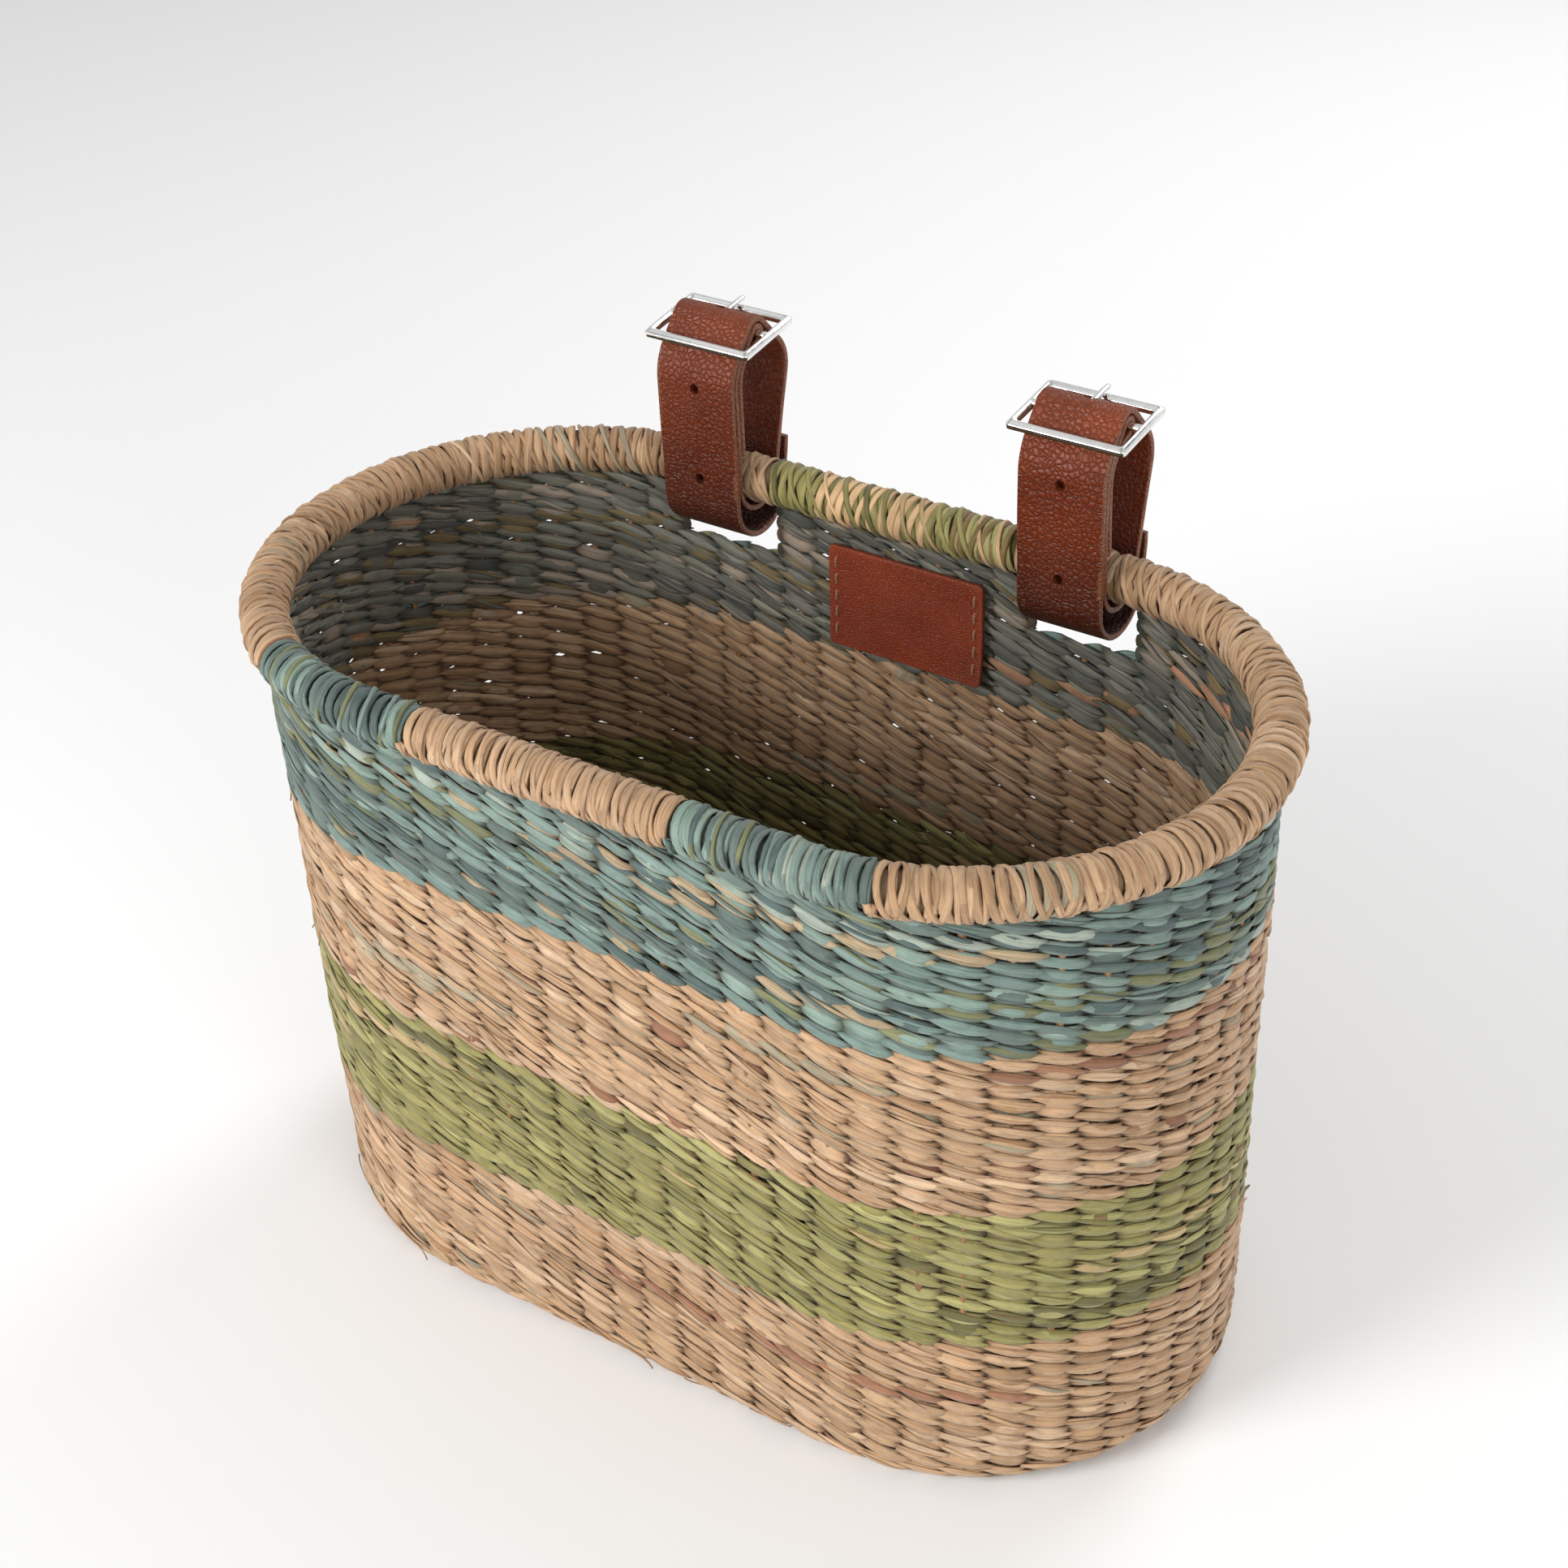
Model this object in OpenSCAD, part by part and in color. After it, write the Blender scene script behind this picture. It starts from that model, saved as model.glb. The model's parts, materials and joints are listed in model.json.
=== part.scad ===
// Handlebar basket: an oval woven basket with a wrapped rim, hung from a bar by two buckled straps.
// Millimetres. +X runs along the basket, +Y towards the bar, +Z up from the middle of the base.

/* [Basket] */
// Length over the middle of the rim
rim_length = 338; // [300:1:380]
// Depth over the middle of the rim
rim_depth = 182; // [160:1:200]
// Height of the rim's middle above the ground
rim_height = 236; // [220:1:280]
// How far the base is drawn in all round, against the rim
base_inset = 4; // [0:0.5:10]
// Thickness of the woven wall and base
weave_t = 5; // [4:0.5:6]
// Number of upright stakes in the wall
stake_count = 64; // [60:2:66]
// Diameter of a stake
stake_d = 2.4; // [1.6:0.2:3]

/* [Bands] */
// Top of the lower tan band
tan_lower_top = 63.5; // [55:0.5:75]
// Top of the green band
green_top = 118; // [100:0.5:130]
// Top of the middle tan band
tan_middle_top = 178.5; // [160:0.5:190]

/* [Rim] */
// Diameter of the wrapped rim
rim_d = 16; // [14:0.5:16]
// Diameter of the hoop inside the wrapping
hoop_d = 8; // [6:0.5:10]

/* [Slots] */
// Depth of a slot below the rim's middle
slot_drop = 30; // [29:0.5:34]

/* [Straps] */
// Width of a strap
strap_w = 30.5; // [28:0.5:32]
// Thickness of the leather
leather_t = 2; // [1.8:0.1:2.1]
// Diameter of the bar that the straps hold
bar_d = 25.4; // [22.2:0.1:25.4]
// Height of the bar's middle above the rim's middle
bar_rise = 36; // [33:0.5:38]
// How far the straps sit to one side of their slots
strap_shift = 3.5; // [0:0.5:3.5]
// Diameter of a buckle hole
hole_d = 3.6; // [3:0.1:4.4]

/* [Buckles] */
// Width of a buckle frame
buckle_w = 41.5; // [38:0.5:44]
// Thickness of a buckle frame
buckle_t = 2.6; // [2:0.1:2.8]
// Width of a buckle's front and back bars
buckle_bar_w = 3.4; // [3:0.1:3.6]
// Tilt of a buckle, its back edge up
buckle_tilt = 6; // [4:0.5:7]

/* [Leather label] */
// Width of the label
patch_w = 60; // [50:1:64]
// Height of the label
patch_h = 38; // [30:1:44]
// Stitches down each side of the label
patch_stitch_count = 5; // [3:1:7]

/* [Hidden] */
$fn = 64;
end_r = rim_depth / 2;
straight_half = (rim_length - rim_depth) / 2;
rim_path = 4 * straight_half + 2 * PI * end_r;
stake_pitch = rim_path / stake_count;
// A slot cuts short three stakes, and its middle one is the fifth stake from the middle of the back
slot_stakes = 3;
slot_middle_stake = 5;
slot_w = slot_stakes * stake_pitch;
slot_spacing = 2 * slot_middle_stake * stake_pitch;
wall_top = rim_height - rim_d / 2 + 0.5;
wall_lean = atan(base_inset / rim_height);

// Places round the rim where the wrapping changes colour, from the middle of the back, by the left end
end_arc = PI * end_r;
green_end = 50;
blue_left_start = straight_half + end_arc * 152 / 180;
blue_left_end = straight_half + end_arc + 19;
blue_front_start = straight_half + end_arc + 116;
blue_front_end = 3 * straight_half + end_arc + end_arc * 14 / 180;
green_start = rim_path - 45;

// The strap in side view, measured from the rim's middle: across, then up
loop_gap = 1.6;
layer_gap = 0.2;
half_t = leather_t / 2;
bar_r = bar_d / 2;
loop_mid_r = rim_d / 2 + loop_gap + half_t;
flap_mid_r = bar_r + half_t;
run_mid_r = flap_mid_r + leather_t + layer_gap;
outer_mid_r = run_mid_r + leather_t + layer_gap;
bar_y = run_mid_r - loop_mid_r;
pin_r = 1.5;
pin_clearance = 0.1;
fold_mid_r = pin_r + pin_clearance + half_t;
hump_gap = 0.5;
hump_mid_r = fold_mid_r + leather_t + hump_gap;
pin_lean = 100;
pin_distance = flap_mid_r + fold_mid_r + 0.2;
pin_y = bar_y + pin_distance * cos(pin_lean);
pin_z = bar_rise + pin_distance * sin(pin_lean);
slack_mid_r = 14;
slack_y = bar_y - outer_mid_r + slack_mid_r;
slack_z = -7;
tail_y = 17.6;
tail_z = 8;
flap_z = 12;

// Bends of a strap from the sewn flap to the free tail: across, up, turn radius of the leather's middle.
// A positive radius turns left, and the first and last rows are the two ends.
STRAP_BENDS = [
    [bar_y - flap_mid_r, flap_z, 0],
    [bar_y, bar_rise, -flap_mid_r],
    [pin_y, pin_z, fold_mid_r],
    [bar_y, bar_rise, run_mid_r],
    [0, 0, loop_mid_r],
    [bar_y, bar_rise, flap_mid_r],
    [pin_y, pin_z, hump_mid_r],
    [bar_y, bar_rise, outer_mid_r],
    [slack_y, slack_z, slack_mid_r],
    [tail_y, tail_z, 0]
];
FRONT_HOLE_HEIGHTS = [35.5, 2];
hole_r = hole_d / 2;
prong_hole_half_w = 1.8;
prong_hole_start = 8;
prong_hole_sweep = 84;
fold_slot_half_w = 3;
fold_slot_r = hump_mid_r - half_t - 0.15;

// Buckle, measured from its centre bar
front_reach = 13.2;
back_reach = 12.2;
side_bar_w = 2.7;
bevel = 0.9;
prong_r = 1.1;
prong_loop_r = 3.2;
prong_loop_w = 4.4;
prong_rise = buckle_t / 2 + prong_r + 0.15;
prong_length = back_reach + 3.4;

patch_t = 1.8;
patch_x = 3;
patch_z = 202;
patch_gap = 0.4;
patch_corner_r = 2;
patch_stitch_w = 0.9;
thread_d = 1;
thread_count = 5;

// Middle of the wall at a height, out from the line between the two end centres
function wall_r(z) = end_r - base_inset * (1 - z / rim_height);
function strap_x(side) = side * slot_spacing / 2 - strap_shift;
// Direction of the straight leather between two bends, in degrees
function heading(a, b) =
    let (away = [b[0] - a[0], b[1] - a[1]])
    atan2(away[1], away[0]) + acos((b[2] - a[2]) / norm(away)) - 90;
function turn(from, to) = (to - from + 720) % 360;
// Where the leather's middle meets a bend when it runs in a direction
function bend_point(bend, dir) = [bend[0] + bend[2] * sin(dir), bend[1] - bend[2] * cos(dir)];

// Sweeps a profile, drawn as distance out and height, round the whole oval
module around_oval() {
    for (side = [-1, 1])
        translate([side * straight_half, 0, 0])
            rotate([0, 0, -90 * side])
                rotate_extrude(angle = 180)
                    children();
    for (flip = [0, 1])
        mirror([0, flip, 0])
            translate([-straight_half, 0, 0])
                rotate([90, 0, 90])
                    linear_extrude(2 * straight_half)
                        children();
}

// Sweeps a profile centred on the rim between two places along the rim's path
module along_rim(from, to) {
    straight_starts = [0, straight_half + end_arc, 3 * straight_half + 2 * end_arc];
    straight_lengths = [straight_half, 2 * straight_half, straight_half];
    straight_x = [0, -straight_half, straight_half];
    straight_dir = [-1, 1, -1];
    for (i = [0:2]) {
        a = max(from, straight_starts[i]) - straight_starts[i];
        b = min(to, straight_starts[i] + straight_lengths[i]) - straight_starts[i];
        if (b > a)
            translate([straight_x[i] + straight_dir[i] * (straight_dir[i] > 0 ? a : b),
                       -straight_dir[i] * end_r, rim_height])
                rotate([90, 0, 90])
                    linear_extrude(b - a)
                        children();
    }
    arc_starts = [straight_half, 3 * straight_half + end_arc];
    for (i = [0, 1]) {
        a = (max(from, arc_starts[i]) - arc_starts[i]) / end_arc * 180;
        b = (min(to, arc_starts[i] + end_arc) - arc_starts[i]) / end_arc * 180;
        backwards = b > 179.9;
        if (b > a)
            translate([i == 0 ? -straight_half : straight_half, 0, rim_height])
                rotate([0, 0, (i == 0 ? 90 : -90) + (backwards ? 180 : a)])
                    mirror([0, backwards ? 1 : 0, 0])
                        rotate_extrude(angle = b - a)
                            translate([end_r, 0])
                                children();
    }
}

module wall_ring(bottom, top) {
    half = weave_t / 2;
    around_oval()
        polygon([
            [wall_r(bottom) - half, bottom],
            [wall_r(bottom) + half, bottom],
            [wall_r(top) + half, top],
            [wall_r(top) - half, top]
        ]);
}

module base_weave() {
    edge_r = wall_r(weave_t) + weave_t / 2;
    color("burlywood")
        union() {
            around_oval()
                intersection() {
                    translate([edge_r - weave_t, weave_t])
                        circle(weave_t);
                    translate([edge_r - weave_t, 0])
                        square(weave_t);
                }
            translate([0, 0, weave_t / 2])
                cube([2 * straight_half, 2 * (edge_r - weave_t), weave_t], center = true);
            for (side = [-1, 1])
                translate([side * straight_half, 0, 0])
                    rotate([0, 0, -90 * side])
                        rotate_extrude(angle = 180)
                            square([edge_r - weave_t, weave_t]);
        }
}

module wall_band_tan_lower() {
    color("tan")
        wall_ring(weave_t, tan_lower_top);
}

module wall_band_green() {
    color("olivedrab")
        wall_ring(tan_lower_top, green_top);
}

module wall_band_tan_middle() {
    color("tan")
        wall_ring(green_top, tan_middle_top);
}

module wall_band_blue() {
    color("cadetblue")
        difference() {
            wall_ring(tan_middle_top, wall_top);
            for (side = [-1, 1])
                translate([side * slot_spacing / 2 - slot_w / 2, end_r - 2 * weave_t, rim_height - slot_drop])
                    cube([slot_w, 4 * weave_t, slot_drop]);
        }
}

// A stake stands in the middle of the wall, and stops below a slot that is in its way
module stake(x, y, out_angle) {
    in_slot = y > 0.9 * end_r && abs(abs(x) - slot_spacing / 2) < slot_w / 2;
    top = in_slot ? rim_height - slot_drop - 2 : wall_top - 1;
    translate([x, y, rim_height])
        rotate([0, 0, out_angle])
            rotate([0, wall_lean, 0])
                translate([0, 0, -rim_height / cos(wall_lean) + weave_t + 1])
                    cylinder(d = stake_d, h = top - weave_t - 1, $fn = 24);
}

module warp_stakes() {
    color("peru")
        for (i = [0:stake_count - 1]) {
            along = i * stake_pitch;
            on_left = along - straight_half;
            on_front = on_left - end_arc;
            on_right = on_front - 2 * straight_half;
            on_back = on_right - end_arc;
            if (on_left < 0)
                stake(-along, end_r, 90);
            else if (on_front < 0)
                stake_on_end(-1, 90 + on_left / end_arc * 180);
            else if (on_right < 0)
                stake(-straight_half + on_front, -end_r, -90);
            else if (on_back < 0)
                stake_on_end(1, -90 + on_right / end_arc * 180);
            else
                stake(straight_half - on_back, end_r, 90);
        }
}

module stake_on_end(side, angle) {
    stake(side * straight_half + end_r * cos(angle), end_r * sin(angle), angle);
}

module rim_hoop() {
    color("saddlebrown")
        around_oval()
            translate([end_r, rim_height])
                circle(d = hoop_d);
}

module rim_wrap(from, to) {
    along_rim(from, to)
        difference() {
            circle(d = rim_d);
            circle(d = hoop_d + 0.1);
        }
}

module rim_wrap_tan_left() {
    color("wheat")
        rim_wrap(green_end, blue_left_start);
}

module rim_wrap_blue_left() {
    color("cadetblue")
        rim_wrap(blue_left_start, blue_left_end);
}

module rim_wrap_tan_front() {
    color("wheat")
        rim_wrap(blue_left_end, blue_front_start);
}

module rim_wrap_blue_front() {
    color("cadetblue")
        rim_wrap(blue_front_start, blue_front_end);
}

module rim_wrap_tan_right() {
    color("wheat")
        rim_wrap(blue_front_end, green_start);
}

module rim_wrap_green_back() {
    color("olivedrab")
        union() {
            rim_wrap(0, green_end);
            rim_wrap(green_start, rim_path);
        }
}

// Places children on the label: +X along it, +Y up it, +Z out of its face into the basket
module on_patch() {
    translate([patch_x, wall_r(patch_z) - weave_t / 2 - patch_gap, patch_z])
        rotate([90 - wall_lean, 0, 0])
            children();
}

module leather_patch() {
    inner_w = patch_w - 2 * patch_corner_r;
    inner_h = patch_h - 2 * patch_corner_r;
    color("sienna")
        on_patch()
            linear_extrude(patch_t)
                union() {
                    square([patch_w, inner_h], center = true);
                    square([inner_w, patch_h], center = true);
                    for (sx = [-1, 1], sy = [-1, 1])
                        translate([sx * inner_w / 2, sy * inner_h / 2])
                            circle(patch_corner_r);
                }
}

module patch_stitches() {
    step = (patch_h - 6) / patch_stitch_count;
    color("peru")
        on_patch()
            for (side = [-1, 1], i = [0:patch_stitch_count - 1])
                translate([side * (patch_w / 2 - 3), (i - (patch_stitch_count - 1) / 2) * step, patch_t])
                    cube([patch_stitch_w, step * 0.62, patch_stitch_w], center = true);
}

// Turns side-view children, drawn across and up, to face along the rim at a strap
module beside_rim(side) {
    translate([strap_x(side), end_r, rim_height])
        rotate([90, 0, 90])
            children();
}

module leather_bend(bend, dir_in, dir_out) {
    sweep = bend[2] > 0 ? turn(dir_in, dir_out) : turn(dir_out, dir_in);
    start = bend[2] > 0 ? dir_in - 90 : dir_out + 90;
    translate([bend[0], bend[1], -strap_w / 2])
        rotate([0, 0, start])
            rotate_extrude(angle = sweep)
                translate([abs(bend[2]) - half_t, 0])
                    square([leather_t, strap_w]);
}

// A straight stretch runs a little way into the bends at its ends and is a hair slimmer than they are
module leather_straight(from, to) {
    overlap = 0.2;
    hair = 0.05;
    translate([from[0], from[1], hair - strap_w / 2])
        rotate([0, 0, atan2(to[1] - from[1], to[0] - from[0])])
            translate([-overlap, hair - half_t, 0])
                cube([norm(to - from) + 2 * overlap, leather_t - 2 * hair, strap_w - 2 * hair]);
}

module strap_leather() {
    last = len(STRAP_BENDS) - 1;
    headings = [for (i = [0:last - 1]) heading(STRAP_BENDS[i], STRAP_BENDS[i + 1])];
    for (i = [0:last - 1])
        leather_straight(bend_point(STRAP_BENDS[i], headings[i]),
                         bend_point(STRAP_BENDS[i + 1], headings[i]));
    for (i = [1:last - 1])
        leather_bend(STRAP_BENDS[i], headings[i - 1], headings[i]);
}

module strap(side) {
    color("sienna")
        beside_rim(side)
            difference() {
                strap_leather();
                translate([pin_y, pin_z, 0])
                    cylinder(r = fold_slot_r, h = 2 * fold_slot_half_w, center = true);
                translate([pin_y, pin_z, -prong_hole_half_w])
                    rotate([0, 0, prong_hole_start])
                        rotate_extrude(angle = prong_hole_sweep)
                            translate([fold_slot_r - 0.3, 0])
                                square([4.4, 2 * prong_hole_half_w]);
                for (height = FRONT_HOLE_HEIGHTS)
                    translate([bar_y - outer_mid_r, height, 0])
                        rotate([0, 90, 0])
                            cylinder(r = hole_r, h = leather_t + layer_gap, center = true);
            }
}

module strap_left() {
    strap(-1);
}

module strap_right() {
    strap(1);
}

// Threads that close the fold: they pass through the flap and the run in front of it
module strap_stitches(side) {
    spacing = (strap_w - 8) / (thread_count - 1);
    color("peru")
        beside_rim(side)
            for (i = [0:thread_count - 1])
                translate([bar_y - run_mid_r - half_t, flap_z + 3, (i - (thread_count - 1) / 2) * spacing])
                    rotate([0, 90, 0])
                        cylinder(d = thread_d, h = 2 * leather_t + layer_gap + 0.3, $fn = 24);
}

module strap_stitches_left() {
    strap_stitches(-1);
}

module strap_stitches_right() {
    strap_stitches(1);
}

// Places children on a buckle: origin on its centre bar, +X towards its back bar, +Z along the rim
module on_buckle(side) {
    beside_rim(side)
        translate([pin_y, pin_z, 0])
            rotate([0, 0, buckle_tilt])
                children();
}

// A long triangular cutter that takes a bevel off an edge along Z at the origin
module bevel_cutter(length) {
    rotate([0, 0, 45])
        cube([bevel * sqrt(2), bevel * sqrt(2), length], center = true);
}

module buckle_frame(side) {
    outer_front = front_reach + buckle_bar_w / 2;
    outer_back = back_reach + buckle_bar_w / 2;
    depth = outer_front + outer_back;
    color("silver")
        on_buckle(side)
            difference() {
                translate([-outer_front, -buckle_t / 2, -buckle_w / 2])
                    cube([depth, buckle_t, buckle_w]);
                translate([-outer_front + buckle_bar_w, -buckle_t, -buckle_w / 2 + side_bar_w])
                    cube([depth - 2 * buckle_bar_w, 2 * buckle_t, buckle_w - 2 * side_bar_w]);
                for (edge = [-outer_front, outer_back])
                    translate([edge, buckle_t / 2, 0])
                        bevel_cutter(buckle_w + 2);
                for (edge = [-1, 1])
                    translate([0, buckle_t / 2, edge * buckle_w / 2])
                        rotate([0, 90, 0])
                            bevel_cutter(2 * depth);
            }
}

module buckle_frame_left() {
    buckle_frame(-1);
}

module buckle_frame_right() {
    buckle_frame(1);
}

module buckle_bar(side) {
    color("gainsboro")
        on_buckle(side)
            cylinder(r = pin_r * 0.999, h = buckle_w - side_bar_w, center = true);
}

module buckle_bar_left() {
    buckle_bar(-1);
}

module buckle_bar_right() {
    buckle_bar(1);
}

module buckle_prong(side) {
    color("gainsboro")
        on_buckle(side)
            difference() {
                union() {
                    cylinder(r = prong_loop_r, h = prong_loop_w, center = true);
                    translate([0.5, prong_rise, 0])
                        rotate([0, 90, 0])
                            cylinder(r = prong_r, h = prong_length - 0.5);
                    translate([prong_length, prong_rise, 0])
                        sphere(prong_r);
                }
                cylinder(r = pin_r + pin_clearance, h = 2 * prong_loop_w, center = true);
            }
}

module buckle_prong_left() {
    buckle_prong(-1);
}

module buckle_prong_right() {
    buckle_prong(1);
}

base_weave();
wall_band_tan_lower();
wall_band_green();
wall_band_tan_middle();
wall_band_blue();
warp_stakes();
rim_hoop();
rim_wrap_tan_left();
rim_wrap_blue_left();
rim_wrap_tan_front();
rim_wrap_blue_front();
rim_wrap_tan_right();
rim_wrap_green_back();
leather_patch();
patch_stitches();
strap_left();
strap_right();
strap_stitches_left();
strap_stitches_right();
buckle_frame_left();
buckle_frame_right();
buckle_bar_left();
buckle_bar_right();
buckle_prong_left();
buckle_prong_right();
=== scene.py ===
"""Looks of a woven bicycle basket with two buckled leather straps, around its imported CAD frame."""

import json
import math

import bmesh
import bpy
import numpy as np
from mathutils import Matrix, Vector


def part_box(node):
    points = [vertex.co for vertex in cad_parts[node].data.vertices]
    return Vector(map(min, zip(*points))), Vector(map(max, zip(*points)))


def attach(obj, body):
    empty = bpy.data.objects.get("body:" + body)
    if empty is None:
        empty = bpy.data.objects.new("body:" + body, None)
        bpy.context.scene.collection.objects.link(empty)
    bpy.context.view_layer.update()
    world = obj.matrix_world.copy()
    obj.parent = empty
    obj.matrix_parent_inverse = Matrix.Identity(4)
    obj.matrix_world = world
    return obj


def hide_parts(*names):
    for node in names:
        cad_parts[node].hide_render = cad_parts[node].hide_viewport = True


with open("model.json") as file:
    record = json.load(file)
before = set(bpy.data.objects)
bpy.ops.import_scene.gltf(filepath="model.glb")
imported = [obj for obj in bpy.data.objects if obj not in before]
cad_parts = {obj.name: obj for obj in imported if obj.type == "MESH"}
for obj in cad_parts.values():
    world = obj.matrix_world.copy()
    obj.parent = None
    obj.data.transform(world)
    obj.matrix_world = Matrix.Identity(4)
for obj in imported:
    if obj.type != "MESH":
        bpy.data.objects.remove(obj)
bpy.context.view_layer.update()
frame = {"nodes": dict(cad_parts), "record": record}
record = frame["record"]
MM = 0.001
TAU = 2 * math.pi
scene = bpy.context.scene


# ---------------------------------------------------------------- camera
# Azimuth, elevation and roll in degrees, what it looks at and from how far in metres, and its lens in mm
CAMERA_TURN = (35.0, 34.3, -2.7)
CAMERA_TARGET = (-0.0099, 0.0290, 0.1624)
CAMERA_AWAY = 0.907
CAMERA_LENS = 62.64


def make_camera():
    azimuth, elevation, roll = (math.radians(a) for a in CAMERA_TURN)
    back = Vector((math.sin(azimuth) * math.cos(elevation),
                   -math.cos(azimuth) * math.cos(elevation),
                   math.sin(elevation)))
    level = Vector((math.cos(azimuth), math.sin(azimuth), 0))
    lift = back.cross(level)
    right = level * math.cos(roll) + lift * math.sin(roll)
    up = lift * math.cos(roll) - level * math.sin(roll)
    data = bpy.data.cameras.new("camera")
    data.sensor_width = 36
    data.lens = CAMERA_LENS
    data.clip_start = 0.01
    camera = bpy.data.objects.new("camera", data)
    scene.collection.objects.link(camera)
    turned = Matrix((right, up, back)).transposed().to_4x4()
    camera.matrix_world = Matrix.Translation(Vector(CAMERA_TARGET) + back * CAMERA_AWAY) @ turned
    scene.camera = camera


make_camera()


# ---------------------------------------------------------------- sizes from the frame
hoop_low, hoop_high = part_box("rim_hoop")
HOOP_R = (hoop_high.z - hoop_low.z) / 2
RIM_Z = (hoop_high.z + hoop_low.z) / 2
END_R = hoop_high.y - HOOP_R
HALF = hoop_high.x - HOOP_R - END_R
ARC = math.pi * END_R
PATH = 4 * HALF + 2 * ARC
ROLL_R = (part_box("rim_wrap_tan_front")[1].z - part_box("rim_wrap_tan_front")[0].z) / 2
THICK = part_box("base_weave")[1].z
BASE_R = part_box("base_weave")[1].y - THICK / 2
TOP_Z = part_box("wall_band_blue")[1].z
TOP_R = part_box("wall_band_blue")[1].y - THICK / 2
STAKES = 64
PITCH = PATH / STAKES
SLOT_FROM = 3.5 * PITCH
SLOT_TO = 6.5 * PITCH
SLOT_Z = RIM_Z - 30 * MM


def wall_r(z):
    """Middle of the wall at a height, out from the line between the two end centres."""
    return BASE_R + (TOP_R - BASE_R) * (z - THICK) / (TOP_Z - THICK)


def sway(u, z):
    """How far the hand-woven wall strays from its drawn place: outward and up."""
    turn = TAU * u / PATH
    rise = np.sin(math.pi * np.clip(z / RIM_Z, 0, 1))
    out = 0.45 * MM * rise * (np.sin(5 * turn + 40 * z) + 0.6 * np.sin(11 * turn - 25 * z + 1.0))
    waves = np.sin(3 * turn + 1.3) + 0.7 * np.sin(8 * turn + 0.4) + 0.4 * np.sin(17 * turn + 30 * z)
    up = 0.75 * MM * rise * waves
    return out, up


def oval(u, r):
    """Point and outward direction at u along the rim's path, from the middle of the back by the left end."""
    u = np.mod(u, PATH)
    r = np.broadcast_to(r, u.shape)
    on_left = u - HALF
    on_front = on_left - ARC
    on_right = on_front - 2 * HALF
    on_back = on_right - ARC
    turn = np.where(on_left < 0, 0, np.where(on_front < 0, on_left / END_R,
                    np.where(on_right < 0, math.pi, np.where(on_back < 0, math.pi + on_right / END_R, TAU))))
    angle = math.pi / 2 + turn
    middle = np.where(on_left < 0, -u, np.where(on_front < 0, -HALF,
                      np.where(on_right < 0, -HALF + on_front, np.where(on_back < 0, HALF, HALF - on_back))))
    nx, ny = np.cos(angle), np.sin(angle)
    return middle + r * nx, r * ny, nx, ny


# ---------------------------------------------------------------- meshes
def unit(v):
    return v / np.maximum(np.linalg.norm(v, axis=-1, keepdims=True), 1e-12)


def value_noise(rng, t, spacing):
    """Smooth random values from -1 to 1 along t, changing about once every spacing."""
    t = np.asarray(t) / spacing
    t = t - t.min()
    knots = rng.uniform(-1, 1, int(t.max()) + 3)
    i = np.floor(t).astype(int)
    f = t - i
    f = f * f * (3 - 2 * f)
    return knots[i] * (1 - f) + knots[i + 1] * f


def srgb(*rgb):
    c = np.array(rgb, float) / 255
    return np.where(c <= 0.04045, c / 12.92, ((c + 0.055) / 1.055) ** 2.4)


class Skin:
    """Collects swept rings into one mesh, with the strand and tint attributes that the materials read; on
    grass the tint's alpha is painted shade.
    """

    def __init__(self):
        self.co, self.faces, self.strand, self.tint, self.count = [], [], [], [], 0

    def add(self, rings, closed, strand, tint):
        n, k = rings.shape[:2]
        index = self.count + np.arange(n * k).reshape(n, k)
        after = np.roll(index, -1, 0) if closed else index[1:]
        here = index if closed else index[:-1]
        quads = np.stack([here, after, np.roll(after, -1, 1), np.roll(here, -1, 1)], -1)
        self.faces += quads.reshape(-1, 4).tolist()
        if not closed:
            self.faces += [index[0].tolist(), index[-1][::-1].tolist()]
        self.co.append(rings.reshape(-1, 3))
        self.strand.append(np.broadcast_to(strand, (n, k, 3)).reshape(-1, 3))
        self.tint.append(np.broadcast_to(tint, (n, k, 4)).reshape(-1, 4))
        self.count += n * k

    def build(self, name, body, material, slot, *nodes):
        mesh = bpy.data.meshes.new(name)
        mesh.from_pydata(np.concatenate(self.co).tolist(), [], self.faces)
        mesh.validate()
        mesh.attributes.new("strand", "FLOAT_VECTOR", "POINT").data.foreach_set(
            "vector", np.concatenate(self.strand).astype(np.float32).ravel())
        mesh.attributes.new("tint", "FLOAT_COLOR", "POINT").data.foreach_set(
            "color", np.concatenate(self.tint).astype(np.float32).ravel())
        return dress(name, mesh, body, material, slot, *nodes)


def face_outward(mesh):
    shape = bmesh.new()
    shape.from_mesh(mesh)
    bmesh.ops.recalc_face_normals(shape, faces=shape.faces)
    shape.to_mesh(mesh)
    shape.free()


def dress(name, mesh, body, material, slot, *nodes):
    """Makes an object of the mesh that rides on a body and stands for the named CAD nodes."""
    face_outward(mesh)
    mesh.materials.append(material)
    mesh.polygons.foreach_set("use_smooth", [True] * len(mesh.polygons))
    obj = bpy.data.objects.new(name, mesh)
    scene.collection.objects.link(obj)
    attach(obj, body)
    if nodes:
        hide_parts(*nodes)
    return obj


def ribbon_rings(centre, side, out, half_w, half_t, ring=8, cup=0.0, start=0.0):
    """Rings of a flat strand: half_w along side and half_t along out, folded along its middle by cup."""
    angle = start + TAU * np.arange(ring) / ring
    c, s = np.cos(angle), np.sin(angle)
    flat = np.sign(s) * np.abs(s) ** 0.7
    x = half_w[:, None] * c
    y = half_t[:, None] * flat - np.reshape(cup, (-1, 1)) * half_w[:, None] * np.abs(c)
    return centre[:, None] + side[:, None] * x[..., None] + out[:, None] * y[..., None]


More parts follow.
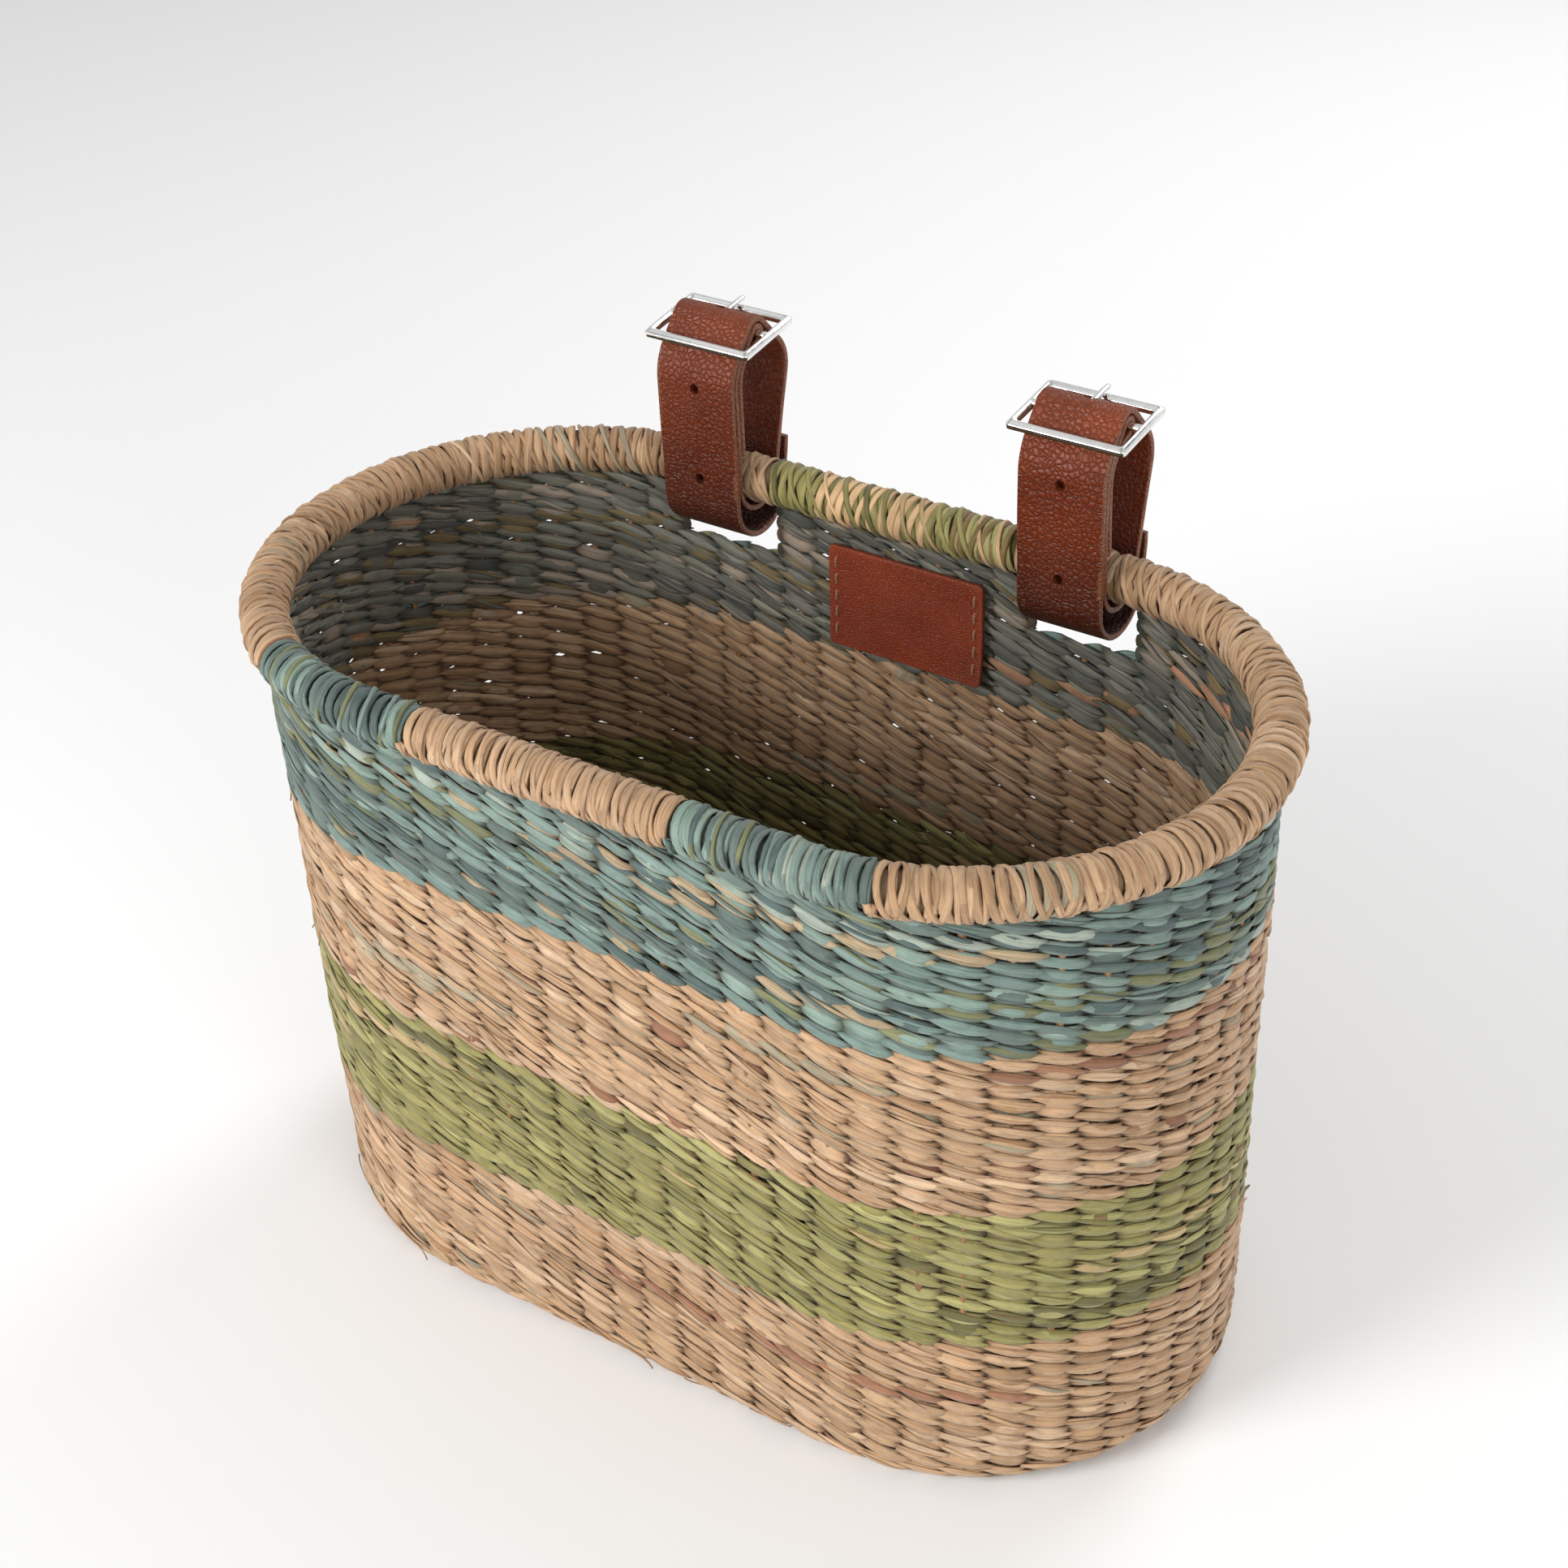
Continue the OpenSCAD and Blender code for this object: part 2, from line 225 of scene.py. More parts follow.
def frame_along(centre, out, closed):
    """Side and outward directions square to the path."""
    if closed:
        ahead = np.roll(centre, -1, 0) - np.roll(centre, 1, 0)
    else:
        ahead = np.gradient(centre, axis=0)
    ahead = unit(ahead)
    side = unit(np.cross(out, ahead))
    return side, unit(np.cross(ahead, side))


def rolled(side, face, angle):
    """Side and face directions turned about the strand."""
    c, s = np.cos(angle)[:, None], np.sin(angle)[:, None]
    return side * c - face * s, face * c + side * s


def length_along(centre):
    step = np.linalg.norm(np.diff(centre, axis=0), axis=1)
    return np.concatenate([[0], np.cumsum(step)])


# ---------------------------------------------------------------- materials
class Nodes:
    """A node tree and short ways to add nodes to it."""

    def __init__(self, tree):
        self.tree = tree

    def node(self, kind, sockets=None, **settings):
        made = self.tree.nodes.new("ShaderNode" + kind)
        for key, value in settings.items():
            setattr(made, key, value)
        for key, value in (sockets or {}).items():
            self.put(made.inputs[key], value)
        return made

    def put(self, socket, value):
        if isinstance(value, bpy.types.NodeSocket):
            self.tree.links.new(value, socket)
        else:
            socket.default_value = value

    def math(self, operation, a, b=0.0, c=0.0):
        return self.node("Math", {0: a, 1: b, 2: c}, operation=operation).outputs[0]

    def ramp(self, value, stops):
        made = self.node("ValToRGB", {0: value})
        elements = made.color_ramp.elements
        while len(elements) < len(stops):
            elements.new(0.5)
        for element, (at, colour) in zip(elements, stops):
            element.position = at
            element.color = (*colour, 1)
        return made.outputs[0]

    def levels(self, value, *stops):
        """A ramp of grey levels."""
        return self.ramp(value, [(at, (level, level, level)) for at, level in stops])

    def mix(self, factor, a, b, blend="MIX"):
        made = self.node("Mix", data_type="RGBA", blend_type=blend)
        self.put(made.inputs[0], factor)
        self.put(made.inputs[6], a)
        self.put(made.inputs[7], b)
        return made.outputs[2]


class Shader(Nodes):
    """A Principled material."""

    def __init__(self, name, **sockets):
        self.material = bpy.data.materials.new(name)
        self.material.use_nodes = True
        super().__init__(self.material.node_tree)
        self.bsdf = self.tree.nodes["Principled BSDF"]
        for socket, value in sockets.items():
            self.set(socket, value)

    def set(self, socket, value):
        self.put(self.bsdf.inputs[socket], value)

    def vector(self, x, y, z):
        return self.node("CombineXYZ", {0: x, 1: y, 2: z}).outputs[0]

    def noise(self, vector, scale, detail=3.0, rough=0.55):
        return self.node("TexNoise", {"Vector": vector, "Scale": scale, "Detail": detail,
                                      "Roughness": rough}).outputs[0]

    def bump(self, height, strength, distance, normal=None):
        sockets = {"Height": height, "Strength": strength, "Distance": distance}
        if normal is not None:
            sockets["Normal"] = normal
        return self.node("Bump", sockets).outputs[0]


def grass_material(name, stain):
    """Dried grass: fibres run along the strand, in the strand's own tint, with painted shade where strands
    cross.
    """
    s = Shader(name, Roughness=0.6)
    s.set("Specular IOR Level", 0.32)
    s.set("Sheen Weight", 0.12)
    strand = s.node("Attribute", attribute_name="strand").outputs["Vector"]
    tint = s.node("Attribute", attribute_name="tint")
    parts = s.node("SeparateXYZ", {0: strand})
    along, across, own = parts.outputs
    seed = s.math("MULTIPLY", own, 57.0)

    def streaks(along_scale, across_scale, detail, rough=0.55):
        x = s.math("MULTIPLY", along, along_scale)
        y = s.math("MULTIPLY", across, across_scale)
        return s.noise(s.vector(x, y, seed), 1.0, detail, rough)

    fibres = streaks(42.0, 3.8, 5.0, 0.66)
    creases = streaks(20.0, 1.3, 2.0)
    mottle = streaks(190.0, 0.9, 3.0)
    light = s.levels(fibres, (0.28, 0.34), (0.40, 0.82), (0.52, 1.0), (0.74, 1.14))
    colour = s.mix(1.0, tint.outputs["Color"], light, "MULTIPLY")
    spots = s.levels(mottle, (0.36, 0.78), (0.5, 1.0), (0.7, 1.06))
    colour = s.mix(0.8, colour, spots, "MULTIPLY")
    aged = s.levels(creases, (0.52, 0.0), (0.72, 0.55))
    colour = s.mix(aged, colour, (*stain, 1), "MULTIPLY")
    # painted shade from the tint's alpha: darkest where strands cross, darker along strand edges and leaf
    # ends
    shade = s.ramp(tint.outputs["Alpha"],
                   [(0.0, (0.30, 0.25, 0.20)), (0.5, (0.84, 0.81, 0.78)), (0.85, (1.0, 1.0, 1.0))])
    colour = s.mix(1.0, colour, shade, "MULTIPLY")
    s.set("Base Color", colour)
    s.set("Roughness", s.levels(fibres, (0.3, 0.72), (0.7, 0.48)))
    coarse = s.bump(creases, 0.5, 0.7 * MM)
    s.set("Normal", s.bump(fibres, 0.55, 0.35 * MM, coarse))
    return s.material


def cane_material(name, low, high, stretch):
    """Bare stake or hoop: fine grain along its length."""
    s = Shader(name, Roughness=0.6)
    place = s.node("Mapping", {0: s.node("TexCoord").outputs["Object"], 3: stretch}).outputs[0]
    grain = s.noise(place, 1.0, 5.0, 0.6)
    s.set("Base Color", s.ramp(grain, [(0.3, low), (0.7, high)]))
    s.set("Roughness", s.levels(grain, (0.3, 0.75), (0.7, 0.5)))
    s.set("Normal", s.bump(grain, 0.4, 0.3 * MM))
    return s.material


def leather_material(name, dark, light, grain_size, grain_depth, edge_colour):
    """Pebbled leather with painted shade and highlight on its grain; the tint pales some parts and darkens
    others, and its alpha marks the cut edges.
    """
    s = Shader(name, Roughness=0.45)
    s.set("Specular IOR Level", 0.42)
    place = s.node("TexCoord").outputs["Object"]
    tint = s.node("Attribute", attribute_name="tint")
    bend = s.node("TexNoise", {"Vector": place, "Scale": 260.0, "Detail": 2.0}).outputs["Color"]
    warped = s.mix(0.0016, place, bend, "ADD")
    cells = s.node("TexVoronoi", {"Vector": warped, "Scale": 1 / grain_size},
                   feature="DISTANCE_TO_EDGE").outputs[0]
    pebble = s.levels(cells, (0.0, 0.0), (0.10, 0.55), (0.32, 1.0))
    pores = s.noise(place, 2600.0, 3.0)
    cloud = s.noise(place, 38.0, 4.0)
    colour = s.ramp(cloud, [(0.32, dark), (0.68, light)])
    colour = s.mix(1.0, colour, tint.outputs["Color"], "MULTIPLY")
    # painted shade in the crevices between pebbles and painted highlight on their tops
    pebble_shade_and_highlight = s.levels(cells, (0.0, 0.55), (0.16, 1.0), (0.4, 1.12))
    colour = s.mix(0.55, colour, pebble_shade_and_highlight, "MULTIPLY")
    cut_edge = s.ramp(pores, [(0.3, 0.6 * edge_colour), (0.7, edge_colour)])
    colour = s.mix(tint.outputs["Alpha"], colour, cut_edge)
    s.set("Base Color", colour)
    s.set("Roughness", s.levels(s.noise(place, 120.0, 3.0), (0.3, 0.38), (0.7, 0.56)))
    fine = s.bump(pores, 0.12, 0.1 * MM)
    s.set("Normal", s.bump(pebble, 1.0, grain_depth, fine))
    return s.material


def metal_material():
    """Polished plate with faint smears and hairline scratches."""
    s = Shader("buckle_metal", Metallic=1.0, Roughness=0.14)
    place = s.node("TexCoord").outputs["Object"]
    smears = s.noise(place, 320.0, 4.0)
    scratches = s.noise(s.node("Mapping", {0: place, 3: (900.0, 9000.0, 5000.0)}).outputs[0], 1.0, 2.0)
    s.set("Base Color", s.ramp(smears, [(0.3, (0.80, 0.80, 0.79)), (0.7, (0.92, 0.92, 0.91))]))
    s.set("Roughness", s.levels(smears, (0.3, 0.09), (0.7, 0.20)))
    s.set("Normal", s.bump(scratches, 0.05, 0.05 * MM))
    return s.material


def thread_material():
    """Waxed thread: two plies twisted round each other, with painted shade in the grooves between them."""
    s = Shader("thread", Roughness=0.6)
    strand = s.node("Attribute", attribute_name="strand").outputs["Vector"]
    parts = s.node("SeparateXYZ", {0: strand})
    slant = s.math("ADD", s.math("MULTIPLY", parts.outputs[0], 9000.0),
                   s.math("MULTIPLY", parts.outputs[1], TAU))
    ply = s.math("ADD", s.math("MULTIPLY", s.math("SINE", slant), 0.5), 0.5)
    # painted shade: dark in the grooves between the plies
    s.set("Base Color", s.ramp(ply, [(0.0, (0.075, 0.030, 0.014)), (0.6, (0.30, 0.135, 0.062)),
                                     (1.0, (0.40, 0.20, 0.10))]))
    s.set("Normal", s.bump(ply, 0.7, 0.15 * MM))
    return s.material


TAN = grass_material("tan_grass", srgb(214, 168, 120))
BLUE = grass_material("blue_grass", srgb(150, 190, 176))
GREEN = grass_material("green_grass", srgb(186, 176, 108))
STAKE = cane_material("stake_grass", srgb(96, 68, 42), srgb(160, 120, 78), (900.0, 900.0, 60.0))
CANE = cane_material("hoop_cane", srgb(120, 84, 50), srgb(186, 146, 100), (300.0, 300.0, 300.0))
STRAP = leather_material("strap_leather", srgb(98, 36, 8), srgb(116, 46, 14), 1.9 * MM, 0.32 * MM,
                         srgb(140, 86, 58))
PATCH = leather_material("patch_leather", srgb(112, 40, 14), srgb(130, 50, 20), 1.0 * MM, 0.16 * MM,
                         srgb(120, 62, 40))
METAL = metal_material()
THREAD = thread_material()

# Strand colours and how often each one is woven in
TANS = [((188, 154, 119), 50), ((181, 146, 110), 22), ((202, 171, 138), 12), ((168, 134, 98), 8),
        ((162, 150, 124), 4), ((150, 106, 78), 1)]
BLUES = [((116, 136, 128), 32), ((97, 112, 105), 26), ((150, 160, 147), 10), ((80, 96, 93), 14),
         ((130, 150, 138), 8), ((118, 120, 84), 11), ((172, 150, 118), 2)]
GREENS = [((148, 140, 84), 44), ((133, 127, 73), 24), ((163, 157, 100), 14), ((106, 100, 58), 9),
          ((182, 158, 112), 5), ((128, 106, 62), 4)]


def pick(rng, palette, count, shortest, longest):
    """A tint for each of count stitches, in runs as one strand of grass gives way to the next."""
    share = np.array([w for _, w in palette], float)
    colours = np.array([srgb(*c) for c, _ in palette])
    tints, runs, own = [], [], 0
    while len(tints) < count:
        tone = colours[rng.choice(len(palette), p=share / share.sum())] * rng.uniform(0.88, 1.10)
        for _ in range(rng.integers(shortest, longest)):
            tints.append(tone * rng.uniform(0.95, 1.05))
            runs.append(own)
        own += 1
    own_seed = rng.uniform(0, 1, own)
    return np.array(tints[:count]), own_seed[np.array(runs[:count])]


# ---------------------------------------------------------------- weave
BULGE = 1.5 * MM
RISE = 1.4 * MM
STRAND_W = 2.45 * MM
STRAND_T = 0.55 * MM
TURN_PAST = 0.7 * MM
STITCH_STEPS = 8
BROAD_SHARE = 0.94
THIN_SHARE = 0.27
LEAF_POINTS = 9
LEAF_RING = 6
LEAF_T = 0.26 * MM
LEAF_SLANT_MM = 2.35


def twine(skin, rng, profile, palette, stakes, per_stitch, span=None, inner=1.0):
    """One course of two strands that twist round each other between stakes.

    profile is the course's radius, height, up direction and outward direction in side view.
    span is the first and last place along the path of a course that stops at a slot.
    inner is painted shade on the stitches that show inside the basket: it darkens them by one factor or by
    one for each colour channel.
    """
    r0, z0, (tr, tz), (nr, nz) = profile
    pitch = PATH / stakes
    wave = [(rng.uniform(0.08, 0.3) * MM, rng.integers(2, 9), rng.uniform(0, TAU)) for _ in range(3)]
    # for each strand: place along the path, out, up, half sizes, reach, roll, tint and seed at its points
    both = []
    for j in (0, 1):
        if span is None:
            t = np.arange(stakes * per_stitch) / per_stitch
        else:
            t = np.linspace(span[0] / pitch, span[1] / pitch,
                            int(round((span[1] - span[0]) / pitch * per_stitch)) + 1)
        phase = math.pi * t + math.pi * j
        c, s = np.cos(phase), np.sin(phase)
        reach = np.abs(c)
        # the small amount keeps rounding from giving a crossing to either stitch
        stitch = np.floor(t + 0.5 + 1e-6).astype(int) % stakes
        tints, seeds = pick(rng, palette, stakes, shortest=5, longest=22)
        jump = np.clip(rng.normal(0, 1, (6, stakes)), -2, 2)[:, stitch]
        out = (BULGE * (1 + 0.13 * jump[0])) * np.sign(c) * reach ** 0.5
        up = -RISE * (1 + 0.18 * jump[4] * reach) * s + 0.34 * MM * jump[1] * reach
        up = up + sum(a * np.sin(TAU * f * t / stakes + p) for a, f, p in wave)
        half_w = STRAND_W * (0.84 + 0.16 * reach ** 0.8) * (1 + 0.13 * jump[2] * reach)
        half_t = STRAND_T * (1 + 0.12 * jump[3] * reach)
        roll = np.sign(c) * reach * (0.13 + 0.10 * jump[5])
        # painted shade on the stitches inside the basket
        tone = tints[stitch] * np.where(c[:, None] < 0, inner, 1.0)
        both.append([t * pitch, out, up, half_w, half_t, reach, roll, tone, seeds[stitch]])
    if span is not None:
        # the strands turn back round the last stake and become one closed strand
        first, second = both
        half_turn = math.pi * np.linspace(0, 1, 5)[1:-1]
        zero = np.zeros(len(half_turn))
        bends = []
        for end, direction in ((-1, 1), (0, -1)):
            a, b = first[2][end], second[2][end]
            if direction < 0:
                a, b = b, a
            bends.append([first[0][end] + direction * TURN_PAST * np.sin(half_turn),
                          zero, a + (b - a) * (1 - np.cos(half_turn)) / 2,
                          zero + first[3][end], zero + first[4][end], zero, zero,
                          zero[:, None] + first[7][end], zero + first[8][end]])
        back = [v[::-1] for v in second]
        both = [[np.concatenate(v) for v in zip(first, bends[0], back, bends[1])]]
    for u, out, up, half_w, half_t, reach, roll, tints, seeds in both:
        more_out, more_up = sway(u, z0)
        rr = r0 + out * nr + up * tr + more_out * nr
        zz = z0 + out * nz + up * tz + more_up * tz
        x, y, nx, ny = oval(u, rr)
        centre = np.stack([x, y, zz], -1)
        outward = np.stack([nr * nx, nr * ny, np.full(len(u), nz)], -1)
        side, face = frame_along(centre, outward, True)
        side, face = rolled(side, face, roll)
        rings = ribbon_rings(centre, side, face, half_w, half_t, 8, 0.9 * roll)
        ring = rings.shape[1]
        across = np.cos(TAU * np.arange(ring) / ring)
        strand = np.stack(np.broadcast_arrays(u[:, None], across[None], seeds[:, None]), -1)
        # painted shade, kept in the tint's alpha: darkest where the two strands cross and where they turn at
        # a slot, a little darker along each strand's edges
        shade = reach[:, None] * (1 - 0.45 * np.abs(across[None]) ** 3)
        tint = np.concatenate([np.repeat(tints[:, None], ring, 1), shade[..., None]], -1)
        skin.add(rings, True, strand, tint)


def leaf(skin, rng, profile, i, face, thin, longest, tint):
    """One leaf over stake i on the outer (1) or inner (-1) face, no longer than longest from its middle."""
    r0, z0, (tr, tz), (nr, nz) = profile
    f = np.linspace(-1, 1, LEAF_POINTS)
    reach = min(rng.uniform(0.45, 0.66) if thin else rng.uniform(0.60, 0.74), longest)
    t = i + f * reach + rng.normal(0, 0.03)
    out = BULGE + (0.85 if thin else 0.42) * MM - 0.75 * MM * np.abs(f) ** 2.4
    out = out + rng.uniform(-0.12, 0.15) * MM
    if thin and rng.random() < 0.10:
        # this one ends in the air
        out = out + rng.uniform(1.0, 2.8) * MM * np.clip((f - 0.2) / 0.8, 0, 1) ** 2
    slant = LEAF_SLANT_MM * (rng.uniform(0.6, 1.5) if thin else rng.uniform(0.8, 1.15)) * MM
    lift = rng.uniform(-1.4, 1.4) * MM if thin else rng.normal(0, 0.3) * MM
    up = -slant * face * np.sin(1.3 * f) / math.sin(1.3) + lift
    peak = rng.uniform(0.4, 0.95) if thin else np.clip(rng.normal(1.95, 0.22), 1.4, 2.4)
    lean = rng.uniform(-0.25, 0.25)
    shape = np.clip(1 - np.abs((f - lean) / (1 + np.abs(lean))) ** 1.9, 0, 1) ** 0.85
    half_w = peak * MM * (0.08 + 0.92 * shape)
    more_out, more_up = sway(t * PITCH, z0)
    rr = r0 + (face * out + more_out) * nr + up * tr
    zz = z0 + face * out * nz + (up + more_up) * tz
    x, y, nx, ny = oval(t * PITCH, rr)
    centre = np.stack([x, y, zz], -1)
    outward = face * np.stack([nr * nx, nr * ny, np.full(LEAF_POINTS, nz)], -1)
    side, away = frame_along(centre, outward, False)
    # the lower edge stands out a little over the next course, on either face
    side, away = rolled(side, away, np.full(LEAF_POINTS, face * rng.normal(0.12, 0.12)))
    half_t = np.full(LEAF_POINTS, LEAF_T)
    start = math.pi / LEAF_RING
    rings = ribbon_rings(centre, side, away, half_w, half_t, LEAF_RING, rng.uniform(-0.05, 0.22), start)
    tone = tint * rng.uniform(0.9, 1.08)
    across = np.cos(start + TAU * np.arange(LEAF_RING) / LEAF_RING)
    strand = np.stack(np.broadcast_arrays((t * PITCH)[:, None], across[None],
                                          np.full((1, 1), rng.random())), -1)
    # painted shade, kept in the tint's alpha: darker towards both ends of the leaf and along its edges
    shade = (1 - 0.55 * np.abs(f) ** 3)[:, None] * (1 - 0.35 * np.abs(across[None]) ** 4)
    tones = np.broadcast_to(tone, (LEAF_POINTS, LEAF_RING, 3))
    skin.add(rings, False, strand, np.concatenate([tones, shade[..., None]], -1))


def leaves(skin, rng, profile, palette, broad_share, thin_share, skip=None, inner=1.0):
    """Flat leaves over the stitches of a course, on both faces: each reaches past its stake to a point.

    broad_share is the share of stitches with a broad leaf, thin_share that with a thin one on top.
    skip is the part of the path, and its mirror, that a slot leaves out.
    """
    broad_tints = {face: pick(rng, palette, STAKES, 3, 12)[0] for face in (1, -1)}
    thin_tints = {face: pick(rng, palette, STAKES, 1, 3)[0] for face in (1, -1)}
    # painted shade on the leaves of the inner face
    shades = {1: 1, -1: np.array(inner)}
    for i in range(STAKES):
        at = i * PITCH
        if skip and (skip[0] < at < skip[1] or skip[0] < PATH - at < skip[1]):
            continue
        near = min(at, PATH - at)
        beside_slot = skip and min(abs(near - skip[0]), abs(near - skip[1])) < PITCH
        longest = 0.5 if beside_slot else 1.0
        for face in (1, -1):
            for thin, share, tints in ((False, broad_share, broad_tints), (True, thin_share, thin_tints)):
                if rng.random() > share:
                    continue
                leaf(skin, rng, profile, i, face, thin, longest, tints[face][i] * shades[face])


def wall_profile(z):
    lean = (TOP_R - BASE_R) / (TOP_Z - THICK)
    up = unit(np.array([lean, 1.0]))
    return wall_r(z), z, tuple(up), (up[1], -up[0])


def wall_band(name, node, palette, material, courses, seed, z_from, z_to, inner=0.9):
    """The courses of one colour band; those of the blue band above a slot's floor stop at the slots."""
    # inner, 0.9 unless given, is painted shade on the stitches and leaves inside the basket
    rng = np.random.default_rng(seed)
    skin, top = Skin(), Skin()
    step = (z_to - z_from) / courses
    for i in range(courses):
        z = z_from + (i + 0.5) * step
        profile = wall_profile(z)
        spans, skip = [None], None
        if node == "wall_band_blue" and z > SLOT_Z:
            spans = [(-SLOT_FROM, SLOT_FROM), (SLOT_TO, PATH - SLOT_TO)]
            skip = (SLOT_FROM, SLOT_TO)
        for span in spans:
            twine(skin, rng, profile, palette, STAKES, STITCH_STEPS, span, inner)
        leaves(top, rng, profile, palette, BROAD_SHARE, THIN_SHARE, skip, inner)
    slot = node.split("_")[2] + "_grass"
    top.build(name + "_leaves", "basket", material, slot)
    skin.build(name, "basket", material, slot, node)


CORNER_R = 7 * MM
BASE_Z = THICK / 2 + 0.3 * MM
WALL_FROM = BASE_Z + CORNER_R
FLAT_R = wall_r(WALL_FROM) - CORNER_R
BASE_COURSES = 16
BASE_PITCH = 13.6 * MM


def base_weave():
    """Courses round the flat of the base, and two round the corner between it and the wall."""
    rng = np.random.default_rng(5)
    skin, corner = Skin(), Skin()
    first = 3 * MM
    step = (FLAT_R - first) / (BASE_COURSES - 0.5)
    for k in range(BASE_COURSES):
        r = first + k * step
        stakes = max(12, 2 * round((4 * HALF + TAU * r) / (2 * BASE_PITCH)))
        twine(skin, rng, (r, BASE_Z, (1.0, 0.0), (0.0, -1.0)), TANS, stakes, 6)
    for k in range(2):
        a = math.pi / 2 * (k + 0.55) / 2
        r = FLAT_R + CORNER_R * math.sin(a)
        z = WALL_FROM - CORNER_R * math.cos(a)
        profile = (r, z, (math.cos(a), math.sin(a)), (math.sin(a), -math.cos(a)))
        twine(skin, rng, profile, TANS, STAKES, STITCH_STEPS)
        leaves(corner, rng, profile, TANS, 0.9, 0.3)
    skin.build("base_weave_strands", "basket", TAN, "tan_grass", "base_weave")
    corner.build("base_corner_leaves", "basket", TAN, "tan_grass")


def base_stakes():
    """The stakes across the base and up its corner; round the ends every other one stops short."""
    skin = Skin()
    for i in range(STAKES):
        x, _, nx, ny = oval(np.array([i * PITCH]), 0.0)
        straight = abs(ny[0]) > 0.999
        inner = 2 * MM if straight or i % 2 == 0 else 34 * MM
        a = np.linspace(0, math.pi / 2, 7)[1:]
        r = np.concatenate([np.linspace(inner, FLAT_R, 12), FLAT_R + CORNER_R * np.sin(a)])
        z = np.concatenate([np.full(12, BASE_Z), WALL_FROM - CORNER_R * np.cos(a)])
        centre = np.stack([x[0] + nx[0] * r, ny[0] * r, z], -1)
        across = np.array([-ny[0], nx[0], 0.0])
        side = np.repeat(across[None], len(r), 0)
        face = unit(np.cross(unit(np.gradient(centre, axis=0)), side))
        half = np.full(len(r), 1.1 * MM)
        rings = ribbon_rings(centre, side, face, half, half, 8)
        skin.add(rings, False, (0, 0, 0), (*srgb(150, 112, 72), 1))
    skin.build("base_stakes", "basket", STAKE, "stake_grass")


z_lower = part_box("wall_band_tan_lower")[1].z
z_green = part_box("wall_band_green")[1].z
z_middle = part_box("wall_band_tan_middle")[1].z
base_weave()
base_stakes()
wall_band("weave_tan_lower", "wall_band_tan_lower", TANS, TAN, 11, 11, WALL_FROM, z_lower)
wall_band("weave_green", "wall_band_green", GREENS, GREEN, 11, 12, z_lower, z_green)
wall_band("weave_tan_middle", "wall_band_tan_middle", TANS, TAN, 12, 13, z_green, z_middle)
# the blue band's inside gets a deeper painted shade, strongest on green and blue
wall_band("weave_blue", "wall_band_blue", BLUES, BLUE, 10, 14, z_middle, TOP_Z - 0.5 * MM, (0.90, 0.62, 0.56))


# ---------------------------------------------------------------- rim
# The three layers wound on the rim, from the inside out, in mm: pitch, depth under the rim's surface,
# half width and slant, and how many turns one strand of grass lasts
WINDINGS = [(3.6, 0.95, 1.6, 2.6, (2, 7)), (4.0, 0.6, 1.4, -1.6, (2, 7)), (7.5, 0.25, 0.85, 3.4, (1, 3))]
TURN_STEPS = 18
# a dark tube under the windings, painted shade seen through their gaps
SHADE_TUBE_R = ROLL_R - 1.7 * MM
SHADE_TUBE_RING = 16


def rim_rings(u, psi, radius, half_w, half_t, roll, ring=8):
    """Rings of a strand wound round the rim at angle psi, which starts outward and turns up and in."""
    x, y, nx, ny = oval(u, END_R)
    outward = np.stack([nx, ny, np.zeros(len(u))], -1)
    up = np.array([0, 0, 1.0])
    away = outward * np.cos(psi)[:, None] + up * np.sin(psi)[:, None]
    centre = np.stack([x, y, np.full(len(u), RIM_Z)], -1) + away * np.broadcast_to(radius, u.shape)[:, None]
    side, face = frame_along(centre, away, False)
    side, face = rolled(side, face, roll)
    return ribbon_rings(centre, side, face, half_w, half_t, ring), length_along(centre)


def add_winding(skin, rng, u0, u1, pitch, radius, width, palette, slant, run):
    turns = max(2, int(round((u1 - u0) / pitch)))
    n = turns * TURN_STEPS + 1
    t = np.linspace(0, turns, n)
    psi = -TAU * t
    margin = width * 0.6
    wander = value_noise(rng, t, 0.5) * 0.7 * MM
    lean = slant * (0.8 + 0.6 * value_noise(rng, t, 1.6))
    u = u0 + margin + (u1 - u0 - 2 * margin) * t / turns + wander + lean * np.sin(psi + 0.5)
    u = np.clip(u, u0 + 0.3 * MM, u1 - 0.3 * MM)
    half_w = width * (1 + 0.28 * value_noise(rng, t, 0.45))
    rho = radius + 0.34 * MM * value_noise(rng, t, 0.5)
    rings, along = rim_rings(u, psi, rho, half_w, np.full(n, 0.5 * MM), 0.22 * value_noise(rng, t, 0.8))
    turn = np.minimum(np.floor(t).astype(int), turns - 1)
    tints, seeds = pick(rng, palette, turns, *run)
    ring = rings.shape[1]
    across = np.cos(TAU * np.arange(ring) / ring)
    strand = np.stack(np.broadcast_arrays(along[:, None], across[None], seeds[turn][:, None]), -1)
    # painted shade, kept in the tint's alpha: darker towards each winding's edges
    edge = 0.35 + 0.65 * (1 - np.abs(across)) ** 0.5
    tint = np.concatenate([np.repeat(tints[turn][:, None], ring, 1),
                           np.broadcast_to(edge[None, :, None], (n, ring, 1))], -1)
    skin.add(rings, False, strand, tint)


